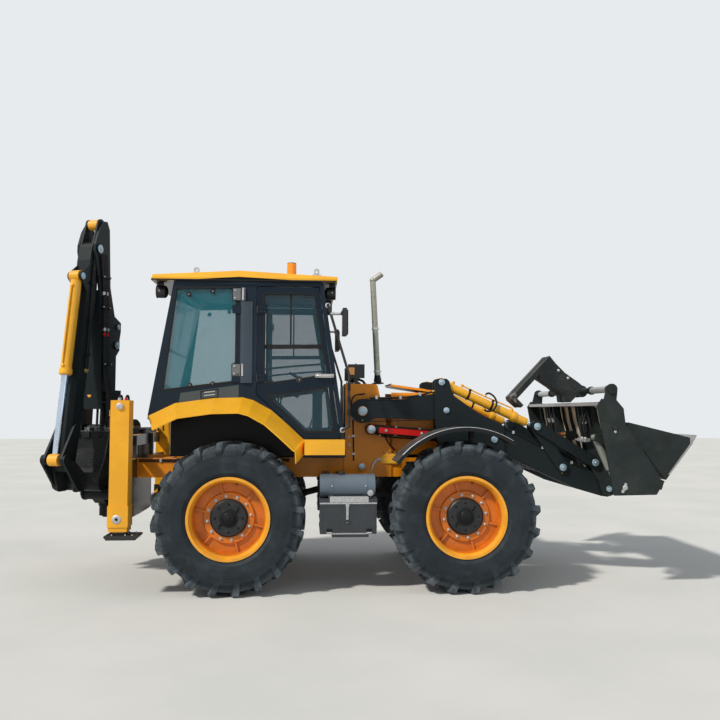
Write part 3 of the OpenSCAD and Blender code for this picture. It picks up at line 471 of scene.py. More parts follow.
@dataclass(frozen=True)
class WheelPaint:
    """Rim enamel with a black hub inside it, brake dust round the nuts, and a darker centre that is painted
    shade inside the flange.
    """

    colour: Colour
    painted_shade_disc: Colour
    hub: Colour
    hub_radius: float
    disc_radius: float

    def material(self, name: str) -> bpy.types.Material:
        """Builds the finish.

        Args:
            name: The material's name.

        Returns:
            The material.
        """
        graph = Graph(name)
        radius = wheel_radius(graph)
        outside = abs(graph.y) > 0.9
        inside = (radius < self.hub_radius).either(1 - outside)
        cloud = graph.noise(6, 5)
        flange = graph.shades(cloud.ramp(0.3, 0.7), self.colour, 0.85, 1.08)
        # The centre gets a darker copy of the rim's orange: painted shade in the wheel's recess.
        painted_shade_disc = graph.shades(cloud.ramp(0.3, 0.7), self.painted_shade_disc, 0.8, 1.15)
        tone = graph.mix(radius.ramp(self.disc_radius, self.disc_radius + 0.01), painted_shade_disc, flange)
        black = graph.mix(cloud.ramp(0.3, 0.7), self.hub, shaded(self.hub, 2.2))
        painted = graph.mix(inside, tone, black)
        mud = graph.noise(16, 6).ramp(0.5, 0.75) * (0.06 + 0.22 * radius.ramp(0.24, 0.4))
        chip = graph.noise(70, 3).ramp(0.68, 0.72) * 0.35
        worn = graph.mix(chip, graph.mix(mud, painted, shaded(DUST, 0.8)), shaded(BARE_STEEL, 0.5))
        return graph.surface(
            {
                "Base Color": worn,
                "Roughness": 0.42 + mud * 0.4,
                "Normal": graph.bump(cloud * 0.5 - chip + graph.noise(120, 3) * 0.4, 0.25, 0.003),
            }
        )


@dataclass(frozen=True)
class Steel:
    """Worked steel: old paint on it rubs off in streaks, and edges in a named region shine."""

    colour: Colour
    shine: float = 0.35
    dust: float = 0.5
    gloss: float = 0.2
    streaks: Place = (1, 1, 7)

    def material(self, name: str, bright: Callable[[Graph], Wire] | None = None) -> bpy.types.Material:
        """Builds the finish.

        Args:
            name: The material's name.
            bright: Gives a mask of places shown as rubbed steel: real wear, and on the loader bucket's top
                rail a painted highlight.

        Returns:
            The material.
        """
        graph = Graph(name)
        cloud = graph.noise(3.2, 6)
        drag = graph.noise(22, 5, self.streaks)
        rubbed = (drag.ramp(0.52, 0.74) * cloud.ramp(0.38, 0.68)) * self.shine
        # The bright mask holds real wear, and for the loader bucket's top rail a painted highlight.
        bare_and_highlight = rubbed.either(bright(graph) * (0.75 + 0.25 * drag)) if bright else rubbed
        rust = (graph.noise(12, 5).ramp(0.6, 0.78)) * 0.2
        tone = graph.shades(cloud.ramp(0.3, 0.7), self.colour, 0.75, 1.2)
        rusty = graph.mix(rust, tone, (0.12, 0.055, 0.025))
        settled = (graph.up.ramp(0.2, 0.9) * 0.7 + graph.noise(5, 6).ramp(0.45, 0.72) * 0.6) * self.dust
        dusty = graph.mix(settled, rusty, DUST)
        return graph.surface(
            {
                "Base Color": graph.mix(bare_and_highlight, dusty, BARE_STEEL),
                "Metallic": bare_and_highlight * 0.85,
                "Roughness": 0.62 - bare_and_highlight * 0.28 + settled * 0.25,
                "Specular IOR Level": self.gloss,
                "Normal": graph.bump(drag * 0.5 + graph.noise(140, 3) * 0.5, 0.3, 0.002),
            }
        )


@dataclass(frozen=True)
class Rubber:
    """Tyre or hose rubber, grey with dust on what touches the ground; on tyres the pale tread lugs are dust
    and painted highlight.
    """

    colour: Colour
    dust: float = 0.6
    film: Colour = (0.17, 0.18, 0.19)
    tread_from: float = 0.0

    def material(self, name: str) -> bpy.types.Material:
        """Builds the finish, with rings on the side wall where a tread radius is given.

        Args:
            name: The material's name.

        Returns:
            The material.
        """
        graph = Graph(name)
        grain = graph.noise(60, 5)
        cloud = graph.noise(5, 5)
        tone = graph.shades(cloud.ramp(0.3, 0.7), self.colour, 0.7, 1.25)
        height = grain * 0.5 + graph.noise(260, 2) * 0.4
        dust_and_lug_highlight = graph.noise(9, 6).ramp(0.4, 0.72) * 0.35
        if self.tread_from:
            radius = wheel_radius(graph)
            tread = radius.ramp(self.tread_from, self.tread_from + 0.05)
            rings = ((radius * 420).sine() * 0.5 + 0.5) * radius.ramp(0.44,
                                                                      0.45) * (1 - radius.ramp(0.54, 0.55))
            height = height + rings * 2.0
            # The pale bluish film on the tread is partly dust and partly a painted highlight of sunlit lugs.
            dust_and_lug_highlight = dust_and_lug_highlight + tread * (0.35 + 0.4 * graph.noise(24, 5).ramp(0.3, 0.7))
        share = (dust_and_lug_highlight * self.dust).ramp(0.0, 1.0)
        return graph.surface(
            {
                "Base Color": graph.mix(share, tone, self.film),
                "Roughness": 0.66 + share * 0.25 + grain * 0.08,
                "Normal": graph.bump(height, 0.35, 0.0025),
                "Specular IOR Level": 0.3,
            }
        )


@dataclass(frozen=True)
class Chrome:
    """Ground and plated rod with a film of oil and fine rings, and a painted eye at its end."""

    colour: Colour = (0.58, 0.67, 0.78)

    def material(self, name: str, eye: Region) -> bpy.types.Material:
        """Builds the finish.

        Args:
            name: The material's name.
            eye: Gives a mask of the eye and its paint.

        Returns:
            The material.
        """
        graph = Graph(name)
        film = graph.noise(11, 5)
        fine = graph.noise(300, 2)
        tone = graph.mix(film.ramp(0.45, 0.75), self.colour, shaded(self.colour, 0.72))
        mask, paint = eye(graph)
        return graph.surface(
            {
                "Base Color": graph.mix(mask, tone, graph.shades(film, paint, 0.8, 1.2)),
                "Metallic": 1 - mask,
                "Roughness": 0.12 + film * 0.16 + fine * 0.05 + mask * 0.2,
                "Normal": graph.bump(fine, 0.05, 0.001),
            }
        )


@dataclass(frozen=True)
class Plated:
    """Zinc or galvanised metal for bolts, steps and fittings."""

    colour: Colour
    roughness: float = 0.38

    def material(self, name: str) -> bpy.types.Material:
        """Builds the finish.

        Args:
            name: The material's name.

        Returns:
            The material.
        """
        graph = Graph(name)
        spangle = graph.cells(45)
        film = graph.noise(25, 5)
        tone = graph.mix((spangle * 1.4).ramp(0.2, 0.9), shaded(self.colour, 0.82), self.colour)
        grimy = graph.mix(film.ramp(0.52, 0.8) * 0.6, tone, shaded(DUST, 0.6))
        return graph.surface(
            {
                "Base Color": grimy,
                "Metallic": 0.8 - film.ramp(0.5, 0.8) * 0.5,
                "Roughness": self.roughness + film * 0.25,
                "Normal": graph.bump(spangle + film, 0.15, 0.0012),
            }
        )


@dataclass(frozen=True)
class Plastic:
    """Moulded plastic with a fine grained skin."""

    colour: Colour
    roughness: float = 0.5
    grain: float = 420.0

    def material(self, name: str, region: Region | None = None) -> bpy.types.Material:
        """Builds the finish.

        Args:
            name: The material's name.
            region: Gives a mask and the other colour that the part has there.

        Returns:
            The material.
        """
        graph = Graph(name)
        pores = graph.cells(self.grain)
        fade = graph.noise(3.5, 5)
        tone = graph.shades(fade.ramp(0.3, 0.75), self.colour, 0.8, 1.2)
        if region:
            mask, other = region(graph)
            tone = graph.mix(mask, tone, other)
        film = graph.noise(20, 5).ramp(0.55, 0.8) * 0.25 * graph.up.ramp(-0.2, 0.9)
        return graph.surface(
            {
                "Base Color": graph.mix(film, tone, DUST),
                "Roughness": self.roughness + fade * 0.12 + film * 0.3,
                "Normal": graph.bump(pores, 0.22, 0.0008),
            }
        )


@dataclass(frozen=True)
class Glazing:
    """Tinted safety glass that shows its green edge and a film of dust."""

    colour: Colour
    density: float = 0.5

    def material(self, name: str) -> bpy.types.Material:
        """Builds the finish.

        Args:
            name: The material's name.

        Returns:
            The material.
        """
        graph = Graph(name)
        film = graph.noise(4, 6)
        smear = graph.noise(14, 4, (1, 1, 3)).ramp(0.5, 0.8)
        rim = self.node_facing(graph)
        tone = graph.mix(smear * 0.25, self.colour, shaded(DUST, 0.8))
        return graph.surface(
            {
                "Base Color": tone,
                "Roughness": 0.04 + film.ramp(0.4, 0.8) * 0.05 + smear * 0.05,
                "Alpha": (self.density + rim * 0.35 + smear * 0.06).ramp(0.0, 1.0),
                "IOR": 1.5,
                "Specular IOR Level": 0.7,
            }
        )

    def node_facing(self, graph: Graph) -> Wire:
        """How far the surface turns from a head-on look."""
        return Wire(graph, graph.node("ShaderNodeLayerWeight", {}, {"Blend": 0.35}).outputs["Fresnel"])


@dataclass(frozen=True)
class Lens:
    """Moulded lens with prism ribs over a bright or tinted inside; on reflectors and other parts that are no
    lamp its glow is painted light.
    """

    colour: Colour
    glow: float = 0.0
    ribs: float = 520.0

    def material(self, name: str) -> bpy.types.Material:
        """Builds the finish.

        Args:
            name: The material's name.

        Returns:
            The material.
        """
        graph = Graph(name)
        ribs = (graph.y * self.ribs).sine() * 0.5 + 0.5
        bars = (graph.z * self.ribs).sine() * 0.5 + 0.5
        tone = graph.shades(ribs * bars * 0.6, self.colour, 0.7, 1.15)
        return graph.surface(
            {
                "Base Color": tone,
                "Roughness": 0.08 + bars * 0.06,
                "Normal": graph.bump(ribs + bars, 0.4, 0.0015),
                "Coat Weight": 0.8,
                "Emission Color": tone,
                "Emission Strength": self.glow,
            }
        )


@dataclass(frozen=True)
class MirrorGlass:
    """Silvered glass with a faint film."""

    colour: Colour = (0.8, 0.84, 0.86)

    def material(self, name: str) -> bpy.types.Material:
        """Builds the finish.

        Args:
            name: The material's name.

        Returns:
            The material.
        """
        graph = Graph(name)
        film = graph.noise(9, 5)
        return graph.surface(
            {
                "Base Color": graph.mix(film.ramp(0.5, 0.9) * 0.2, self.colour, DUST),
                "Metallic": 1.0,
                "Roughness": 0.03 + film.ramp(0.5, 0.85) * 0.1,
            }
        )


@dataclass(frozen=True)
class Fabric:
    """Woven seat cloth with crossing threads and a soft sheen."""

    colour: Colour
    threads: float = 1400.0

    def material(self, name: str) -> bpy.types.Material:
        """Builds the finish.

        Args:
            name: The material's name.

        Returns:
            The material.
        """
        graph = Graph(name)
        warp = (graph.y * self.threads).sine() * 0.5 + 0.5
        weft = ((graph.x + graph.z) * self.threads).sine() * 0.5 + 0.5
        weave = warp * (1 - weft) + weft * (1 - warp)
        wear = graph.noise(9, 5)
        tone = graph.shades(weave, self.colour, 0.6, 1.35)
        return graph.surface(
            {
                "Base Color": graph.mix(wear.ramp(0.5, 0.8) * 0.3, tone, shaded(DUST, 0.7)),
                "Roughness": 0.85 + wear * 0.1,
                "Normal": graph.bump(weave + wear * 0.4, 0.45, 0.0012),
                "Sheen Weight": 0.3,
            }
        )


def edge_of_clam(graph: Graph) -> Wire:
    """Mask of the clam's cutting edge and of the rubbed lip behind it.

    Args:
        graph: The material's graph.

    Returns:
        The mask.
    """
    ahead = graph.x - FAR.translation.x
    front = (((ahead - 3.284) * 0.791 - (graph.z - 1.425) * 0.612) > -0.013) * (graph.z > 1.09)
    return front.either((ahead > 3.232) * graph.noise(30, 3).ramp(0.2, 0.5))


def blade_wear_and_rail_highlight(graph: Graph) -> Wire:
    """Mask of the worn blade under the bucket's back and of a painted highlight along its top rail.

    Args:
        graph: The material's graph.

    Returns:
        The mask.
    """
    ahead = graph.x - FAR.translation.x
    blade = (ahead > 2.8) * (graph.z < 1.02) * (abs(graph.y) < 1.12)
    # The top rail is shown as rubbed steel: a painted highlight of its sunlit edge.
    rail = (graph.z > 1.732) * (graph.z < 1.775) * (ahead < 2.5) * (abs(graph.y) < 1.148)
    return blade.either(rail)


def teeth_of_digger(graph: Graph) -> Wire:
    """Mask of the digging bucket's teeth and lip."""
    return (graph.z > 1.47) * graph.noise(40, 3).ramp(0.35, 0.6) * 0.5


def fork_tips(graph: Graph) -> Wire:
    """Mask of the rubbed toes of the forks."""
    return (graph.x < FAR.translation.x + 1.78) * graph.noise(26, 3).ramp(0.4, 0.65) * 0.45


def shaded_inside(graph: Graph) -> tuple[Wire, Colour]:
    """Mask and colour of painted shade on the rear frame between its two boxes, on every face that does not
    point up.
    """
    return (abs(graph.y) < 0.968) * (graph.up < 0.9), (0.010, 0.011, 0.013)


def painted_shade_underside(graph: Graph) -> tuple[Wire, Colour]:
    """Mask and colour of painted shade on the roof: faces that point down are made near black."""
    return graph.up < -0.5, (0.010, 0.012, 0.015)


def black_foot(graph: Graph) -> tuple[Wire, Colour]:
    """Mask and colour of the stabilizer's foot."""
    return graph.z < 0.592, (0.012, 0.013, 0.014)


def painted_shade_arch(graph: Graph) -> tuple[Wire, Colour]:
    """Mask and colour of painted shade in the arches over the rear wheels and on the cab's floor."""
    return (abs(graph.y) < 0.742) * (graph.z < 1.79), (0.003, 0.003, 0.004)


def grey_top_patches(graph: Graph) -> tuple[Wire, Colour]:
    """Mask and colour of patchy lighter grey on the upward faces of a mudguard."""
    return (graph.up > 0.6) * (graph.noise(20, 4).ramp(0.3, 0.6)), (0.10, 0.10, 0.10)


def beacon_amber(graph: Graph) -> tuple[Wire, Colour]:
    """Mask and colour of the beacon's dome."""
    return (graph.z > 3.076) * (graph.z < 3.205), (1.0, 0.36, 0.012)


def silver_handle(graph: Graph) -> tuple[Wire, Colour]:
    """Mask and colour of the pull handle on a door."""
    level = (graph.z > 2.003) * (graph.z < 2.042)
    return level * (abs(graph.y) > 0.8005) * (graph.x > FAR.translation.x - 0.42), (0.55, 0.56, 0.57)


def dark_boxes(graph: Graph) -> tuple[Wire, Colour]:
    """Mask and colour of the tank, which is lighter and bluer than the tool box under it."""
    return graph.z > 0.87, (0.105, 0.14, 0.18)


class Finishes:
    """Every material of the machine, made once."""

    def __init__(self) -> None:
        """Builds the materials."""
        self.yellow = Paint((0.92, 0.45, 0.014), dust=0.06, chips=0.1).material("yellow_enamel")
        self.roof = Paint((0.92, 0.45, 0.014), dust=0.06, chips=0.1).material("roof_enamel", painted_shade_underside)
        self.leg = Paint((0.92, 0.43, 0.010), dust=0.1, chips=0.2).material("leg_enamel", black_foot)
        self.rear = Paint(
            (0.92, 0.43, 0.010), dust=0.08, chips=0.12
        ).material("rear_frame_enamel", shaded_inside)
        self.orange = Paint(
            (0.82, 0.27, 0.004), roughness=0.3, dust=0.06, chips=0.1, coat=0.15, gloss=0.3
        ).material("orange_enamel")
        self.charcoal = Paint(
            (0.012, 0.018, 0.021), roughness=0.4, dust=0.08, chips=0.12, coat=0.03, gloss=0.14
        ).material("charcoal_enamel")
        self.black = Paint(
            (0.008, 0.010, 0.012), roughness=0.42, dust=0.1, chips=0.12, coat=0.03, gloss=0.14
        ).material("black_enamel")
        self.slate = Paint(
            (0.013, 0.023, 0.038), roughness=0.32, dust=0.04, chips=0.06, coat=0.04, gloss=0.14
        ).material("slate_enamel", painted_shade_arch)
        self.door = Paint(
            (0.008, 0.017, 0.031), roughness=0.3, dust=0.04, chips=0.06, coat=0.04, gloss=0.14
        ).material("slate_door_enamel", silver_handle)
        self.boxes = Paint(
            (0.030, 0.037, 0.044), roughness=0.38, dust=0.12, chips=0.15, coat=0.15, gloss=0.4
        ).material("box_enamel", dark_boxes)
        self.guard = Paint(
            (0.006, 0.007, 0.009), roughness=0.4, dust=0.1, chips=0.1, coat=0.05, gloss=0.25
        ).material("mudguard_enamel", grey_top_patches)
        self.red = Paint(
            (0.55, 0.008, 0.006), roughness=0.34, dust=0.06, chips=0.1, coat=0.1, gloss=0.2
        ).material("red_enamel")
        self.cast = Steel((0.014, 0.016, 0.018), shine=0.1, dust=0.15).material("cast_iron")
        # The darker second colour is painted shade on the wheel's centre inside the flange.
        self.rim = WheelPaint(
            (0.86, 0.37, 0.022), painted_shade_disc=(0.60, 0.155, 0.006), hub=(0.004, 0.005, 0.006), hub_radius=0.176,
            disc_radius=0.33
        ).material("rim_enamel")
        self.clam = Steel((0.016, 0.023, 0.023), shine=0.06, dust=0.05).material("clam_steel", edge_of_clam)
        self.bucket = Steel(
            (0.016, 0.023, 0.023), shine=0.06, dust=0.05
        ).material("bucket_steel", blade_wear_and_rail_highlight)
        self.forks = Steel((0.016, 0.021, 0.023), shine=0.2, dust=0.08).material("fork_steel", fork_tips)
        self.ram = Paint((0.24, 0.25, 0.23), dust=0.15).material("grey_enamel")
        self.digger = Steel(
            (0.012, 0.015, 0.017), shine=0.2, dust=0.06
        ).material("digging_bucket_steel", teeth_of_digger)
        # The sheets' near-white colour is dust plus painted light that makes up for the shade between the
        # ribs.
        self.sheet = Steel((0.92, 0.84, 0.66), shine=0.02, dust=0.1).material("dusty_sheet")
        # The tyre's pale bluish film on the tread is dust and a painted highlight of the sunlit lugs.
        self.tyre = Rubber(
            (0.013, 0.020, 0.027), dust=0.55, film=(0.16, 0.195, 0.22), tread_from=0.60
        ).material("tyre_rubber")
        self.hose = Rubber((0.012, 0.012, 0.013), dust=0.25).material("hose_rubber")
        self.seal = Rubber((0.008, 0.008, 0.009), dust=0.12).material("seal_rubber")
        self.chrome = Plated((0.72, 0.73, 0.74), roughness=0.16).material("bright_chrome")
        gold, dark = (0.85, 0.40, 0.03), (0.012, 0.014, 0.016)
        ends = FAR.translation.x
        self.rods = {
            "lift_rods": Chrome().material("lift_rod_chrome", lambda graph: (graph.x > ends + 1.452, dark)),
            "tilt_rods": Chrome().material("tilt_rod_chrome", lambda graph: (graph.x > ends + 1.884, dark)),
            "boom_rod": Chrome().material("boom_rod_chrome", lambda graph: (graph.z > 2.336, dark)),
            "dipper_rod": Chrome().material("dipper_rod_chrome", lambda graph: (graph.z > 3.596, gold)),
            "bucket_rod": Chrome().material("bucket_rod_chrome", lambda graph: (graph.z < 1.262, gold)),
        }
        self.pipe = Plated((0.34, 0.34, 0.29), roughness=0.42).material("exhaust_steel")
        self.zinc = Plated((0.52, 0.53, 0.54)).material("zinc_plate")
        self.pin = Plated((0.34, 0.49, 0.60), roughness=0.4).material("pin_head")
        self.brass = Plated((0.55, 0.36, 0.12), roughness=0.35).material("yellow_zinc")
        # The pale teal is the glass's green-blue tint plus a painted reflection of the sky.
        self.glass = Glazing((0.004, 0.24, 0.32), density=0.36).material("tinted_glass")
        self.door_glass = Glazing((0.002, 0.07, 0.11), density=0.38).material("dark_glass")
        self.plastic = Plastic((0.014, 0.014, 0.015)).material("black_plastic")
        self.lamp = Plastic((0.016, 0.016, 0.017), roughness=0.4).material("lamp_housing", beacon_amber)
        self.lens = Lens((0.72, 0.76, 0.78), glow=0.12).material("clear_lens")
        # The amber and red lens materials glow; on the boom's reflectors and the bucket's red disc that glow
        # is painted light.
        self.amber = Lens((1.0, 0.38, 0.015), glow=0.15).material("amber_lens")
        self.ruby = Lens((0.5, 0.015, 0.01), glow=0.1).material("red_lens")
        self.sill = Paint((0.055, 0.072, 0.078), roughness=0.3, dust=0.1, chips=0.1).material("sill_grey")
        self.post = Paint(
            (0.028, 0.045, 0.068), roughness=0.3, dust=0.05, chips=0.05
        ).material("post_slate")
        self.hinge = Paint((0.15, 0.16, 0.175), roughness=0.4, dust=0.1, chips=0.1).material("hinge_grey")
        self.mirror = MirrorGlass().material("mirror_glass")
        self.cloth = Fabric((0.035, 0.04, 0.05)).material("seat_cloth")
        self.lining = Fabric((0.12, 0.125, 0.13), threads=900).material("roof_lining")
        self.mat = Rubber((0.02, 0.02, 0.022), dust=0.5).material("floor_mat")
        self.dial = Plastic((0.03, 0.035, 0.04), roughness=0.25).material("dial_face")
        self.white = Plastic((0.55, 0.55, 0.52), roughness=0.4).material("pale_plastic")

    def dress(self) -> None:
        """Gives every node of the frame its finish."""
        for name, node in frame["nodes"].items():
            node.data.materials.clear()
            node.data.materials.append(self.of_node(name))

    def of_node(self, name: str) -> bpy.types.Material:
        """The finish of one node of the frame.

        Args:
            name: The node's name.

        Returns:
            Its finish.
        """
        table = {
            "chassis_frame": self.orange, "rear_frame": self.rear, "engine_block": self.cast,
            "axles": self.cast, "cab_frame": self.slate, "cab_roof": self.roof, "cab_glass": self.glass,
            "fenders": self.yellow, "operator_station": self.plastic, "seat_cushions": self.cloth,
            "side_boxes": self.boxes,
            "exhaust": self.pipe, "lamps": self.lamp, "mirrors": self.plastic, "bonnet": self.orange,
            "grille": self.black, "loader_arms": self.charcoal, "lift_cylinders": self.black,
            "tilt_cylinders": self.yellow, "bucket_levers": self.charcoal, "bucket_links": self.charcoal,
            "bucket_back": self.bucket, "bucket_clam": self.clam, "clam_cylinders": self.ram,
            "pallet_forks": self.forks, "carriage": self.black, "kingpost": self.black, "boom": self.charcoal,
            "dipper": self.charcoal, "digging_bucket": self.digger, "tipping_links": self.charcoal,
            "bucket_link": self.charcoal, "boom_cylinder": self.black, "dipper_cylinder": self.yellow,
            "bucket_cylinder": self.yellow,
        }
        by_start = {
            "door_glass": self.door_glass, "door": self.door, "stabilizer": self.leg, "knuckle": self.cast,
            "mudguard": self.guard, "tyre": self.tyre, "rim": self.rim,
        }
        table |= self.rods
        if name in table:
            return table[name]
        return next(finish for start, finish in by_start.items() if name.startswith(start))


def circle(middle: Vector, first: Vector, second: Vector, radius: float, sides: int) -> list[Vector]:
    """Points round a circle.

    Args:
        middle: Its middle.
        first: Direction of the first point.
        second: Direction a quarter turn on.
        radius: Its radius.
        sides: Number of points.

    Returns:
        The points.
    """
    turns = [2 * math.pi * i / sides for i in range(sides)]
    return [middle + (first * math.cos(turn) + second * math.sin(turn)) * radius for turn in turns]


class Shape:
    """Gathers plates, turned parts and tubes into one piece that rides on a body."""

    def __init__(self, name: str, body: str, slot: str, skins: Sequence[bpy.types.Material],
                 spaces: Sequence[Matrix] = BOTH) -> None:
        """Starts an empty piece.

        Args:
            name: The piece's name.
            body: The body that carries it.
            slot: Name of a material slot; not used.
            skins: Its materials, the main one first.
            spaces: The frames in which each part is repeated.
        """
        self.name, self.body, self.slot = name, body, slot
        self.skins, self.spaces = list(skins), list(spaces)
        self.points: list[Vector] = []
        self.faces: list[list[int]] = []
        self.marks: list[int] = []

    def take(self, part: bmesh.types.BMesh, skin: Skin = None, soft: float = 0.0) -> None:
        """Adds a finished part in every frame of the piece.

        Args:
            part: The part in millimetres, which is freed.
            skin: Its material, where it is not the main one.
            soft: Width of the rounding of its sharp edges.
        """
        bmesh.ops.recalc_face_normals(part, faces=part.faces)
        if soft > 0:
            sharp = [e for e in part.edges if len(e.link_faces) == 2 and e.calc_face_angle() > 0.6]
            bmesh.ops.bevel(part, geom=sharp, offset=soft, segments=2, affect="EDGES", clamp_overlap=True)
        part.verts.index_update()
        mark = 0 if skin is None else self.skins.index(skin)
        for space in self.spaces:
            start = len(self.points)
            self.points += [space @ vert.co for vert in part.verts]
            for face in part.faces:
                ring = [start + vert.index for vert in face.verts]
                self.faces.append(ring[::-1] if space.is_negative else ring)
                self.marks.append(mark)
        part.free()

    def loft(self, rings: Sequence[Sequence[Place]], skin: Skin = None, soft: float = 0.0,
             closed: bool = False) -> None:
        """Joins rings of points by faces.

        Args:
            rings: Rings of equally many points.
            skin: Its material, where it is not the main one.
            soft: Width of the rounding.
            closed: Whether the last ring joins the first, without end faces.
        """
        part = bmesh.new()
        grid = [[part.verts.new(point) for point in ring] for ring in rings]
        pairs = list(zip(grid, grid[1:])) + ([(grid[-1], grid[0])] if closed else [])
        for one, two in pairs:
            for i in range(len(one)):
                part.faces.new((one[i - 1], one[i], two[i], two[i - 1]))
        if not closed:
            part.faces.new(grid[0][::-1])
            part.faces.new(grid[-1])
        self.take(part, skin, soft)

    def box(self, low: Place, high: Place, skin: Skin = None, soft: float = 2.0) -> None:
        """Adds a rounded block.

        Args:
            low: Its low corner.
            high: Its high corner.
            skin: Its material, where it is not the main one.
            soft: Width of the rounding.
        """
        (x, y, z), (u, v, w) = low, high
        self.loft([[(x, y, z), (u, y, z), (u, v, z), (x, v, z)],
                   [(x, y, w), (u, y, w), (u, v, w), (x, v, w)]], skin, soft)

    def slab(self, outline: Outline, low: float, high: float, skin: Skin = None, soft: float = 1.5,
             axis: int = 1) -> None:
        """Adds a plate with an outline.

        Args:
            outline: Corners in the two other coordinates.
            low: Where it starts along the axis.
            high: Where it ends.
            skin: Its material, where it is not the main one.
            soft: Width of the rounding.
            axis: The coordinate that it is thick along.
        """

        def at(corner: tuple[float, float], level: float) -> list[float]:
            """A corner of the plate at one level."""
            point = list(corner)
            point.insert(axis, level)
            return point

        self.loft([[at(c, low) for c in outline], [at(c, high) for c in outline]], skin, soft)

    def band(self, outer: Outline, inner: Outline, low: float, high: float, skin: Skin = None,
             axis: int = 1) -> None:
        """Adds a flat ring between two outlines.

        Args:
            outer: Corners of the outer edge.
            inner: As many corners of the inner edge.
            low: Where it starts along the axis.
            high: Where it ends.
            skin: Its material, where it is not the main one.
            axis: The coordinate that it is thick along.
        """
        rings = []
        for a, b in zip(outer, inner):
            ring = []
            for corner, level in ((a, low), (a, high), (b, high), (b, low)):
                point = list(corner)
                point.insert(axis, level)
                ring.append(point)
            rings.append(ring)
        self.loft(rings, skin, 0.0, closed=True)

    def turned(self, base: Place, direction: Place, profile: Outline, skin: Skin = None, sides: int = 24,
               soft: float = 0.0) -> None:
        """Adds a part turned on a lathe.

        Args:
            base: Where its axis starts.
            direction: Which way its axis points.
            profile: Pairs of distance along the axis and radius.
            skin: Its material, where it is not the main one.
            sides: Number of faces round it.
            soft: Width of the rounding.
        """
        axis = Vector(direction).normalized()
        first = axis.orthogonal().normalized()
        second = axis.cross(first)
        rings = [circle(Vector(base) + axis * along, first, second, max(radius, LEAST_RADIUS),
                        sides) for along, radius in profile]
        self.loft(rings, skin, soft)

    def rod(self, start: Place, end: Place, radius: float, skin: Skin = None, sides: int = 20) -> None:
        """Adds a round bar with softened ends.

        Args:
            start: Middle of one end.
            end: Middle of the other end.
            radius: Its radius.
            skin: Its material, where it is not the main one.
            sides: Number of faces round it.
        """
        run = Vector(end) - Vector(start)
        rim = min(radius * 0.2, run.length * 0.2)
        profile = [(0, radius - rim), (rim, radius), (run.length - rim, radius), (run.length, radius - rim)]
        self.turned(start, run, profile, skin, sides)

    def bolt(self, at: Place, direction: Place, size: float, skin: Skin = None) -> None:
        """Adds a hexagon head on its washer, with the end of its shank.

        Args:
            at: Where it sits.
            direction: Which way it points.
            size: Width of its head.
            skin: Its material, where it is not the main one.
        """
        self.turned(at, direction, [(-1, size * 0.68), (size * 0.1, size * 0.68), (size * 0.1, size * 0.3)],
                    skin, 16)
        head = [(size * 0.08, size * 0.56), (size * 0.52, size * 0.56), (size * 0.6, size * 0.46)]
        self.turned(at, direction, head, skin, 6)
        self.turned(at, direction,
                    [(size * 0.5, size * 0.26), (size * 0.78, size * 0.26), (size * 0.84, size * 0.2)],
                    skin, 10)

    def tube(self, points: Sequence[Place], radius: float, skin: Skin = None, sides: int = 10, steps: int = 6,
             closed: bool = False) -> None:
        """Adds a hose, pipe or bent bar on a smooth line through the points.

        Args:
            points: Points that its middle passes.
            radius: Its radius.
            skin: Its material, where it is not the main one.
            sides: Number of faces round it.
            steps: Number of stretches between two points.
            closed: Whether it ends where it starts.
        """
        knots = [Vector(p) for p in points]
        padded = [knots[-1], *knots, knots[0], knots[1]] if closed else [knots[0] * 2 - knots[1], *knots,
                                                                         knots[-1] * 2 - knots[-2]]
        line: list[Vector] = []
        for a, b, c, d in zip(padded, padded[1:], padded[2:], padded[3:]):
            for i in range(steps):
                t = i / steps
                bend, twist = 2 * a - 5 * b + 4 * c - d, 3 * b - a - 3 * c + d
                line.append((2 * b + (c - a) * t + bend * t**2 + twist * t**3) / 2)
        if not closed:
            line.append(knots[-1])
        normal = (line[1] - line[0]).orthogonal().normalized()
        rings = []
        for i, point in enumerate(line):
            ahead = line[(i + 1) % len(line)] if closed or i + 1 < len(line) else point
            behind = line[i - 1] if closed or i else point
            run = (ahead - behind).normalized()
            normal = (normal - run * normal.dot(run)).normalized()
            other = run.cross(normal)
            rings.append(circle(point, normal, other, radius, sides))
        self.loft(rings, skin, 0.0, closed)

    def build(self) -> bpy.types.Object:
        """Makes the mesh object, shades it and lets it ride on its body.

        Returns:
            The object.
        """
        mesh = bpy.data.meshes.new(self.name)
        mesh.from_pydata(self.points, [], self.faces)
        for skin in self.skins:
            mesh.materials.append(skin)
        mesh.polygons.foreach_set("material_index", self.marks)
        mesh.polygons.foreach_set("use_smooth", [True] * len(self.faces))
        mesh.set_sharp_from_angle(angle=SHARP_ANGLE)
        made = bpy.data.objects.new(self.name, mesh)
        bpy.context.scene.collection.objects.link(made)
        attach(made, self.body)
        LOG.info("%s on %s: %d faces", self.name, self.body, len(self.faces))
        return made


def around(count: int, radius: float, start: float = 0.0) -> list[tuple[float, float]]:
    """Points spread evenly on a circle.

    Args:
        count: Number of points.
        radius: Radius of the circle.
        start: Angle of the first, in degrees.

    Returns:
        The points.
    """
    turns = [math.radians(start) + 2 * math.pi * i / count for i in range(count)]
    return [(radius * math.cos(turn), radius * math.sin(turn)) for turn in turns]


@dataclass
class Assembly:
    """A sub-assembly that is dressed with the machine's finishes."""

    finishes: Finishes


